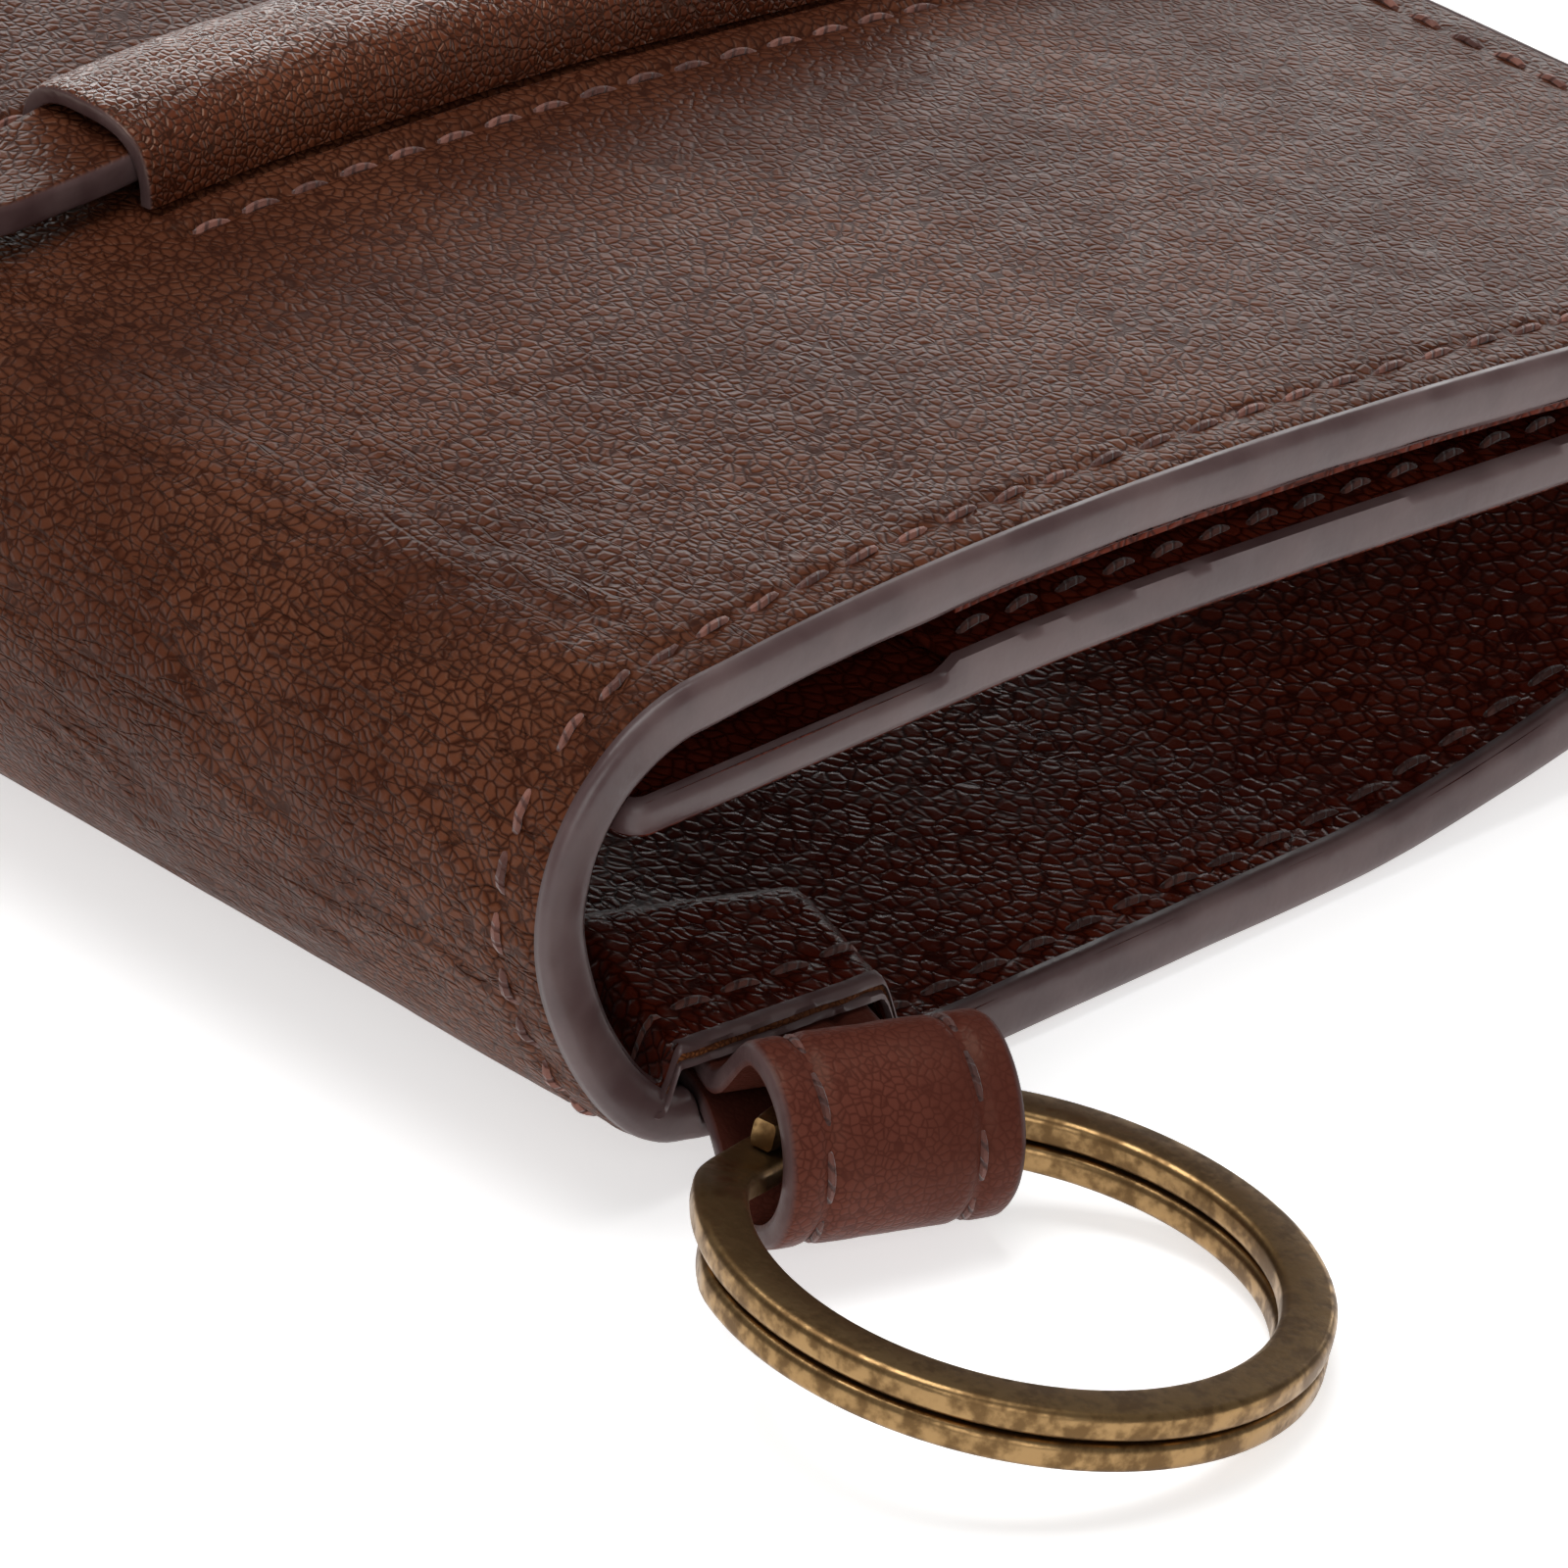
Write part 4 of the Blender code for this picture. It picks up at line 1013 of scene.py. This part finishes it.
def panelRim():
    # the rim's painted section, all round the panel
    shape = pocketShape
    mouth, end, curve = shape["mouth"], shape["end"], shape["mouthCorner"]
    sewn = shape["sewnCorner"]
    turns = np.linspace(0, math.pi / 2, 10)
    path = []
    for x, y, out in zip(mouth + curve - curve * np.sin(turns), curve - curve * np.cos(turns), turns):
        path.append((x, y, -math.sin(out), -math.cos(out)))
    path += [(mouth, y, -1.0, 0.0) for y in np.linspace(curve, length - curve, 120)[1:-1]]
    for out in turns:
        x, y = mouth + curve - curve * np.cos(out), length - curve + curve * np.sin(out)
        path.append((x, y, -math.cos(out), math.sin(out)))
    path += [(x, length, 0.0, 1.0) for x in np.arange(mouth + curve + 0.5, end - sewn, 0.5)]
    for x, y, out in zip(end - sewn + sewn * np.sin(turns), length - sewn + sewn * np.cos(turns), turns):
        path.append((x, y, math.sin(out), math.cos(out)))
    path += [(end, y, 1.0, 0.0) for y in np.linspace(length - sewn, sewn, 120)[1:-1]]
    for x, y, out in zip(end - sewn + sewn * np.cos(turns), sewn - sewn * np.sin(turns), turns):
        path.append((x, y, math.cos(out), -math.sin(out)))
    path += [(x, 0.0, 0.0, -1.0) for x in np.arange(end - sewn, mouth + curve + 0.2, -0.5)[1:]]
    x, y, outX, outY = np.array(path).T
    runs = np.r_[0, np.cumsum(np.hypot(np.diff(x), np.diff(y)))]
    base = panelHeight(x)
    section = [
        (-0.5, -0.04), (-0.1, -0.1), (0.14, 0.02), (0.24, 0.35),
        (0.22, 0.85), (0.08, 1.28), (-0.35, 1.42), (-0.6, 0.6),
    ]
    # past the gusset's end its lower leaf is painted in with the panel
    leaf = 0.50 * ease((x - pocketShape["gussetStart"] - 2.2) / 0.7) * (np.minimum(y, length - y) < 1.0)
    loops = []
    for number, (out, up) in enumerate(section):
        wobble = 0.10 * layeredNoise(runs / 4.0, number / 2.5, 73)
        reach = out + wobble
        up = up + leaf * (up > 0.7)
        loops.append(np.stack([x + outX * reach, y + outY * reach, base + up + 0.5 * wobble], -1))
    sections = np.stack(loops, 1)
    faces = loftFaces(*sections.shape[:2], closed=True)
    return makePiece("pocketEdge", sections.reshape(-1, 3), faces, edgePaint)


def makeGusset(name, end):
    shape = pocketShape
    stations = np.arange(shape["gussetStart"] + 3.2, shape["gussetEnd"], 0.7)
    sections, paint = [], []
    for x in stations:
        high = float(topHeight(np.array(x))) - 2.32
        low = float(panelHeight(x)) + shape["thickness"] + 0.38
        half = (high - low) / 2
        middle = (high + low) / 2
        fold = shape["fold"] + 0.15 * math.sin(x * 0.5)
        turns = np.linspace(math.pi / 2, -math.pi / 2, 9)
        reach = max(0.35, half)
        outerY = np.r_[0.35, 1.5, fold - reach + reach * np.cos(turns), 1.5, 0.35]
        outerZ = np.r_[high, high, middle + half * np.sin(turns), low, low]
        thin = shape["leafThickness"]
        innerY = np.r_[0.35, 1.5, fold - reach + (reach - thin) * np.cos(turns[::-1]), 1.5, 0.35]
        innerFold = middle + (half - thin) * np.sin(turns[::-1])
        innerZ = np.r_[low + thin, low + thin, innerFold, high - thin, high - thin]
        y = np.r_[outerY, innerY]
        crinkle = 0.05 * layeredNoise(x / 1.8, y / 1.6, 81)
        z = np.r_[outerZ, innerZ] + crinkle
        y = y if end < 1 else length - y
        sections.append(np.stack([np.full(len(y), x), y, z], -1))
    sections = np.array(sections)
    count, size = sections.shape[:2]
    faces = loftFaces(count, size)[:-2]
    for row, flip in ((0, False), (count - 1, True)):
        for i in range(size // 2 - 1):
            quad = [row * size + i, row * size + i + 1, row * size + size - 2 - i, row * size + size - 1 - i]
            faces.append(quad[::-1] if flip else quad)
    return makePiece(name, sections.reshape(-1, 3), faces, liningLeather, paint=np.zeros(count * size))


pocketPanel = makePanel()
pocketEdge = panelRim()
gussetNear = makeGusset("gussetNear", 0)
gussetFar = makeGusset("gussetFar", 1)
pocketX = np.linspace(pocketShape["gussetStart"] + 1, 70, 150)
pocketSeam, leafSeam = [], []
for y in (inset, length - inset):
    low = np.stack([pocketX, np.full(150, y), panelHeight(pocketX)], -1)
    pocketSeam += stitchRun(low, np.tile([0.0, 0.0, -1.0], (150, 1)))
    leafX = np.linspace(pocketShape["gussetStart"] + 4.2, pocketShape["gussetEnd"] - 1, 150)
    leafY = 1.7 if y < length / 2 else length - 1.7
    leafZ = panelHeight(leafX) + pocketShape["thickness"] + 0.38 + pocketShape["leafThickness"]
    leaf = np.stack([leafX, np.full(150, leafY), leafZ], -1)
    leafSeam += stitchRun(leaf, np.tile([0.0, 0.0, 1.0], (150, 1)))
pocketStitches = stitchPiece("pocketStitches", pocketSeam, waxedThread)
leafStitches = stitchPiece("gussetStitches", leafSeam, darkThread)
print("pocket made")


# tab
def tabLine():
    shape = tabShape
    radius, lower = shape["loopRadius"], shape["rootZ"]
    upper = lower + shape["thickness"] + shape["plyGap"]
    flare = np.linspace(shape["flareStart"], shape["pivotOut"], 14)[:-1]
    share = ease(np.linspace(0, 1, 14))[:-1]
    points = [(-shape["rootLength"], lower)]
    points += list(zip(flare, lower + (shape["pivotZ"] - radius - lower) * share))
    for turn in np.linspace(0, math.pi, 40):
        out = shape["pivotOut"] + radius * math.sin(turn)
        points.append((out, shape["pivotZ"] - radius * math.cos(turn)))
    points += list(zip(flare, upper + (shape["pivotZ"] + radius - upper) * share))[::-1]
    points.append((-shape["rootLength"], upper))
    return resample(points, 0.3, smooth=1.2)


def tabHalf(out):
    share = np.clip(out / tabShape["pivotOut"], 0, 1)
    return (tabShape["rootWidth"] + (tabShape["noseWidth"] - tabShape["rootWidth"]) * share) / 2


def makeTab():
    shape = tabShape
    line = tabLine()
    tangents = tangentsOf(line)
    outside = np.stack([tangents[:, 1], -tangents[:, 0]], -1)
    half = tabHalf(line[:, 0])
    acrossShares = np.linspace(-1, 1, 45)
    runs = np.arange(len(line)) * 0.3
    loops, paint = [], []
    thick = shape["thickness"] / 2

    def addLoop(share, level, isPaint):
        w = half * share
        grooves = bump(np.abs(w) - (half - shape["stitchInset"]), 0.30) * 0.24
        shapeNoise = 0.05 * layeredNoise(runs / 2.2, share * 3, 91)
        height = level * thick
        if level > 0:
            rim = np.clip((np.abs(share) - 0.93) / 0.07, 0, 1) ** 2 * 0.16
            height = height - grooves - rim + shapeNoise
        spot = line + outside * np.asarray(height)[..., None]
        loops.append(np.stack([w + 0 * spot[:, 0], spot[:, 0], spot[:, 1]], -1))
        paint.append(np.full(len(line), isPaint))

    for share in acrossShares:
        addLoop(share, 1.0, 1.0 if abs(share) > 0.99 else 0.0)
    for level in (0.5, 0.0, -0.5):
        w = half + 0.10 * math.sqrt(1 - level**2)
        spot = line + outside * level * thick
        loops.append(np.stack([w, spot[:, 0], spot[:, 1]], -1))
        paint.append(np.ones(len(line)))
    for share in acrossShares[::-4]:
        addLoop(share, -1.0, 0.0)
    for level in (-0.5, 0.0, 0.5):
        w = -half - 0.10 * math.sqrt(1 - level**2)
        spot = line + outside * level * thick
        loops.append(np.stack([w, spot[:, 0], spot[:, 1]], -1))
        paint.append(np.ones(len(line)))
    sections = fromTab(np.stack(loops, 1))
    faces = loftFaces(*sections.shape[:2])
    paint = np.stack(paint, 1).reshape(-1)
    return makePiece("ringTab", sections.reshape(-1, 3), faces, tabLeather, paint=paint)


def tabSeams():
    line = tabLine()
    tangents = tangentsOf(line)
    outside = np.stack([tangents[:, 1], -tangents[:, 0]], -1)
    keep = (line[:, 0] > -1.0) & (np.arange(len(line)) > 20)
    parts = []
    for side in (-1, 1):
        w = side * (tabHalf(line[:, 0]) - tabShape["stitchInset"])
        spot = line + outside * (tabShape["thickness"] / 2 - 0.16)
        path = fromTab(np.stack([w, spot[:, 0], spot[:, 1]], -1))[keep]
        direction = np.stack([0 * w, outside[:, 0], outside[:, 1]], -1) @ tabArray[:3, :3].T
        look = dict(stitchShape, pitch=3.3, length=2.9, rise=0.02, radius=0.17, slant=0.05)
        parts += stitchRun(path, direction[keep], look, startAt=0.6)
    return stitchPiece("tabStitches", parts, darkThread)


ringTab = makeTab()
tabStitches = tabSeams()
print("tab made")


# closing strap
strapShape = {
    "width": 5.9,
    "thickness": 1.45,
    "layThickness": 1.55,  # what it takes up, with its glue
    "rootGap": 0.3,
    "standOff": 1.2,
    "bend": 2.6,
    "lift": 0.77,
    "tail": 8.5,
    "rootStart": 60.5,
    "split": 12.76,  # height at which its two halves meet
    "tailTwist": 14.0,
    "tailDrop": 0.55,
}


def strapLine():
    # its outer face, from the sewn root round the open side to the tail
    shape = strapShape
    thick = shape["layThickness"]
    lowZ = caseShape["openBottom"] - shape["rootGap"] - thick + shape["bend"]
    highZ = caseShape["openTop"] + shape["lift"] + thick - shape["bend"]
    across = width + shape["standOff"] + thick - shape["bend"]
    rootX = np.linspace(shape["rootStart"], width - 1.3, 40)
    points = list(zip(rootX, bottomHeight(rootX) - shape["rootGap"] - thick))
    for turn in np.linspace(math.radians(30), math.pi / 2, 14):
        points.append((across + shape["bend"] * math.sin(turn), lowZ - shape["bend"] * math.cos(turn)))
    for turn in np.linspace(math.pi / 2, math.radians(155), 14):
        points.append((across + shape["bend"] * math.sin(turn), highZ - shape["bend"] * math.cos(turn)))
    tongueX = np.linspace(width - 1.6, shape["tail"], 120)
    drop = shape["tailDrop"] * ease((18 - tongueX) / 8)
    points += list(zip(tongueX, topHeight(np.maximum(tongueX, 8.9)) + shape["lift"] + thick - drop))
    return resample(points, 0.35, smooth=1.4)


def makeStrap():
    shape = strapShape
    line = strapLine()
    tangents = tangentsOf(line)
    inward = np.stack([-tangents[:, 1], tangents[:, 0]], -1)
    split = int(np.argmax((line[:, 0] > width) & (line[:, 1] > shape["split"])))
    half, thick = shape["width"] / 2, shape["thickness"]
    last = len(line) - 1
    runs = np.arange(len(line)) * 0.35
    tipA = np.clip(1 - runs / 3.0, 0, 1)
    tipB = np.clip(1 - (runs[-1] - runs) / 3.0, 0, 1)
    rounding = np.sqrt(1 - np.maximum(tipA, tipB) ** 2 * 0.96)
    loops, paint = [], []
    turn = np.radians(shape["tailTwist"]) * ease((17 - line[:, 0]) / 8) * (line[:, 1] > 15)

    def addLoop(share, level, isPaint, out=0.0):
        w = (half * share + out) * rounding
        fine = 0.03 * layeredNoise(runs / 3, share * 2 + level, 101)
        height = thick * level + fine + w * np.sin(turn)
        spot = line + inward * np.asarray(height)[:, None]
        loops.append(np.stack([spot[:, 0], length / 2 + w, spot[:, 1]], -1))
        paint.append(np.full(len(line), isPaint))

    for share in np.linspace(-0.96, 0.96, 13):
        addLoop(share, 0.0, 0.0)
    for level, out in ((0.08, 0.02), (0.25, 0.12), (0.5, 0.15), (0.75, 0.12), (0.92, 0.02)):
        addLoop(1.0, level, 1.0, out)
    for share in np.linspace(0.96, -0.96, 13):
        addLoop(share, 1.0, 0.0)
    for level, out in ((0.92, -0.02), (0.75, -0.12), (0.5, -0.15), (0.25, -0.12), (0.08, -0.02)):
        addLoop(-1.0, level, 1.0, out)
    sections, paint = np.stack(loops, 1), np.stack(paint, 1)
    paint[0], paint[-1] = 1.0, 1.0
    made = []
    for name, rowsTaken in (("strapRoot", slice(0, split + 1)), ("strapTongue", slice(split, last + 1))):
        some, somePaint = sections[rowsTaken], paint[rowsTaken].reshape(-1)
        faces = loftFaces(*some.shape[:2])
        made.append(makePiece(name, some.reshape(-1, 3), faces, edgedLeather, paint=somePaint))
    return made


strapRoot, strapTongue = makeStrap()
boxX = np.linspace(62, 73.3, 40)
boxSeam = []
for away in (-1.75, 1.75):
    low = bottomHeight(boxX) - strapShape["rootGap"] - strapShape["layThickness"]
    path = np.stack([boxX, np.full(40, length / 2 + away), low], -1)
    boxSeam += stitchRun(path, np.tile([0.1, 0.0, -1.0], (40, 1)), dict(stitchShape, rise=0.06))
for x in (62.0, 73.6):
    y = np.linspace(length / 2 - 1.5, length / 2 + 1.5, 20)
    path = np.stack([np.full(20, x), y, np.full(20, float(bottomHeight(np.array(x))) - 1.85)], -1)
    boxSeam += stitchRun(path, np.tile([0.1, 0.0, -1.0], (20, 1)), dict(stitchShape, rise=0.06), startAt=0.3)
strapStitches = stitchPiece("strapStitches", boxSeam, waxedThread)
print("strap made")


# split ring: a bevelled bar of wire, spun twice round and stepped up half way
ringShape = {
    "diameter": 25.0,
    "wireWidth": 2.2,
    "wireHeight": 1.2,
    "coilGap": 0.14,
    "seat": 0.4,
    "droop": 4.0,
    "roll": 11.0,
    "yaw": 7.0,
    "rise": 34.0,  # degrees over which it steps
    "jog": -45.0,  # where it steps, round from the tab
    "steps": 260,
    "tipAngle": 17.0,
    "tipShare": 0.45,
}


def makeRing():
    shape = ringShape
    radius = (shape["diameter"] - shape["wireWidth"]) / 2
    bpy.ops.object.select_all(action="DESELECT")
    bpy.ops.mesh.primitive_plane_add(size=1, location=(radius * mm, 0, 0), rotation=(math.pi / 2, 0, 0))
    ring = bpy.context.object
    ring.name = "splitRing"
    ring.scale = (shape["wireWidth"] * mm, shape["wireHeight"] * mm, 1)
    bpy.ops.object.transform_apply(location=True, rotation=True, scale=True)
    bpy.ops.object.mode_set(mode="EDIT")
    bpy.ops.mesh.select_all(action="SELECT")
    bpy.ops.mesh.bevel(offset=0.36 * mm, segments=4, affect="VERTICES")
    bpy.ops.mesh.select_all(action="SELECT")
    bpy.ops.mesh.delete(type="ONLY_FACE")
    bpy.ops.mesh.select_all(action="SELECT")
    ends = math.radians(shape["rise"])
    full = 4 * math.pi - ends
    bpy.ops.mesh.spin(steps=shape["steps"], angle=full, center=(0, 0, 0), axis=(0, 0, 1))
    bpy.ops.object.mode_set(mode="OBJECT")
    mesh = ring.data
    count = len(mesh.vertices) // (shape["steps"] + 1)
    pitch = shape["wireHeight"] + shape["coilGap"]
    pivot = Matrix.Translation((0, tabShape["pivotOut"], tabShape["pivotZ"]))
    yaw = Matrix.Rotation(-math.radians(shape["yaw"]), 4, "Z")
    roll = Matrix.Rotation(math.radians(shape["roll"] - tabShape["tilt"]), 4, "Y")
    droop = Matrix.Rotation(-math.radians(shape["droop"]), 4, "X")
    ringMatrix = tabMatrix @ pivot @ yaw @ roll @ droop
    for index, vertex in enumerate(mesh.vertices):
        turn = full * (index // count) / shape["steps"]
        fromTip = turn + ends / 2  # round from the lower coil's tip
        share = (fromTip - 2 * math.pi + ends / 2) / ends
        level = pitch * (float(ease(share)) - 0.5)
        toTip = min(turn, full - turn) / math.radians(shape["tipAngle"])
        narrow = min(1.0, shape["tipShare"] + (1 - shape["tipShare"]) * toTip)
        reach = math.hypot(vertex.co.x, vertex.co.y) / mm - radius
        out = radius + reach * narrow
        around = math.radians(shape["jog"]) - fromTip
        away = radius - shape["seat"] - out * math.cos(around)
        spot = Vector((out * math.sin(around), away, level + vertex.co.z / mm))
        placed = ringMatrix @ spot
        vertex.co = [(value - start) * mm for value, start in zip(placed, caseShape["origin"])]
    bpy.ops.object.mode_set(mode="EDIT")
    bpy.ops.mesh.select_all(action="DESELECT")
    bpy.ops.mesh.select_non_manifold()
    bpy.ops.mesh.edge_face_add()
    bpy.ops.mesh.select_all(action="SELECT")
    bpy.ops.mesh.normals_make_consistent(inside=False)
    bpy.ops.object.mode_set(mode="OBJECT")
    bpy.ops.object.shade_smooth_by_angle(angle=math.radians(50))
    mesh.materials.clear()
    mesh.materials.append(antiqueBrass)
    return ring


splitRing = makeRing()
print("ring made", len(splitRing.data.vertices))


# what moves with what: the cover's pieces, strap and gussets only have their placing baked in; the other
# pieces go on their bodies
def onward(s, distance):
    # a point on the outline and another that far straight on from it
    x, z, alongX, alongZ = onProfile(s)
    first = np.array([x, length / 2, z])
    return first, first + np.array([alongX, 0.0, alongZ]) * distance


lowerEnd, lowerStart = onward(lowerSplit, -15.2)
upperStart, upperEnd = onward(upperSplit, 12.6)
below, above = onward(lowerSplit, 0)[0], onward(upperSplit, 0)[0]
upwards = (above - below) / np.linalg.norm(above - below)
spans = {
    "back": ("back", "spine_lower", lowerStart, lowerEnd),
    "spine": ("spine_lower", "spine_upper", below + upwards * 1.15, above - upwards * 1.15),
    "front": ("spine_upper", "front", upperStart, upperEnd),
}
for part, (first, second, start, end) in spans.items():
    for pieces in (outerPieces, liningPieces, edgePieces, seamPieces, innerSeams):
        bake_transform(pieces[part])
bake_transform(strapRoot)
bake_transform(strapTongue)
for gusset in (gussetNear, gussetFar):
    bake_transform(gusset)
for piece in (keeperArch, keeperStitches):
    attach(piece, "front")
for piece in (pocketPanel, pocketEdge, pocketStitches, leafStitches):
    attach(piece, "pocket")
for piece in (ringTab, tabStitches, strapStitches, rawCore, upperLip, lowerLip):
    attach(piece, "back")
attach(splitRing, "ring")

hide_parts("back_outer")
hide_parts("spine_lower_outer")
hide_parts("spine_upper_outer", "front_outer")
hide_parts("back_lining")
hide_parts("spine_lower_lining")
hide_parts("spine_upper_lining", "front_lining")
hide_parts("back_edge_thread")
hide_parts("spine_lower_thread_near", "spine_lower_thread_far")
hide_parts("spine_upper_thread_near", "spine_upper_thread_far", "front_edge_thread")
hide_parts("keeper")
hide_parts("keeper_thread_near", "keeper_thread_far")
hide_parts("pocket_panel")
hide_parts("pocket_thread_near", "pocket_thread_far")
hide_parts("gusset_near")
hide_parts("gusset_far")
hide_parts("ring_tab")
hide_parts("tab_thread_spine_side", "tab_thread_open_side")
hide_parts("strap_root_face", "strap_root_backing", "strap_bend_face", "strap_bend_backing")
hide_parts("strap_tongue_face", "strap_tongue_backing")
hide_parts("strap_root_thread")
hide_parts("split_ring")

# floor, light and camera
studio = {
    "floor": (0.90, 0.90, 0.90),
    "surround": 0.22,
    "floorGlow": 0.6,
    "softBoxes": {  # place and size in metres, power in watts
        "overhead": ((-0.1, 0.15, 1.2), (0.8, 0.8), 9.5),
        "behind": ((0.62, 0.66, 0.17), (1.1, 0.22), 3.6),
        "front": ((-0.5, -0.7, 0.4), (0.5, 0.5), 2.0),
    },
    "cameraAim": (-0.0248, -0.0517, 0.0188),
    "azimuth": -41.7,
    "elevation": 28.9,
    "distance": 0.5,
    "lens": 301.5,
}
bpy.ops.object.select_all(action="DESELECT")
bpy.ops.mesh.primitive_plane_add(size=6, location=(0, 0, -0.0002))
floor = bpy.context.object
floor.name = "floor"
floorPaint = newMaterial("floorPaint", 0.9, 0.2)
floorShader = floorPaint.node_tree.nodes["Principled BSDF"]
floorShader.inputs["Base Color"].default_value = (*studio["floor"], 1)
floorShader.inputs["Emission Color"].default_value = (1, 1, 1, 1)
floorShader.inputs["Emission Strength"].default_value = studio["floorGlow"]
floor.data.materials.append(floorPaint)

world = bpy.data.worlds.new("studio")
world.use_nodes = True
world.node_tree.nodes["Background"].inputs["Color"].default_value = (1.0, 1.0, 1.0, 1.0)
world.node_tree.nodes["Background"].inputs["Strength"].default_value = studio["surround"]
bpy.context.scene.world = world


def softBox(name, place, size, power):
    data = bpy.data.lights.new(name, "AREA")
    data.shape = "RECTANGLE"
    data.size, data.size_y = size
    data.energy = power
    light = bpy.data.objects.new(name, data)
    light.location = place
    light.rotation_euler = (-Vector(place)).to_track_quat("-Z", "Y").to_euler()
    bpy.context.scene.collection.objects.link(light)


for name, (place, size, power) in studio["softBoxes"].items():
    softBox(name, place, size, power)

azimuth, elevation = math.radians(studio["azimuth"]), math.radians(studio["elevation"])
level = math.cos(elevation)
back = Vector((math.sin(azimuth) * level, -math.cos(azimuth) * level, math.sin(elevation)))
cameraData = bpy.data.cameras.new("camera")
cameraData.lens = studio["lens"]
cameraData.sensor_width = 36
cameraData.clip_start = 0.01
cameraData.clip_end = 20
camera = bpy.data.objects.new("camera", cameraData)
camera.location = Vector(studio["cameraAim"]) + back * studio["distance"]
camera.rotation_euler = (-back).to_track_quat("-Z", "Y").to_euler()
bpy.context.scene.collection.objects.link(camera)
bpy.context.scene.camera = camera
bpy.context.scene.view_settings.view_transform = "Standard"
print("studio made")
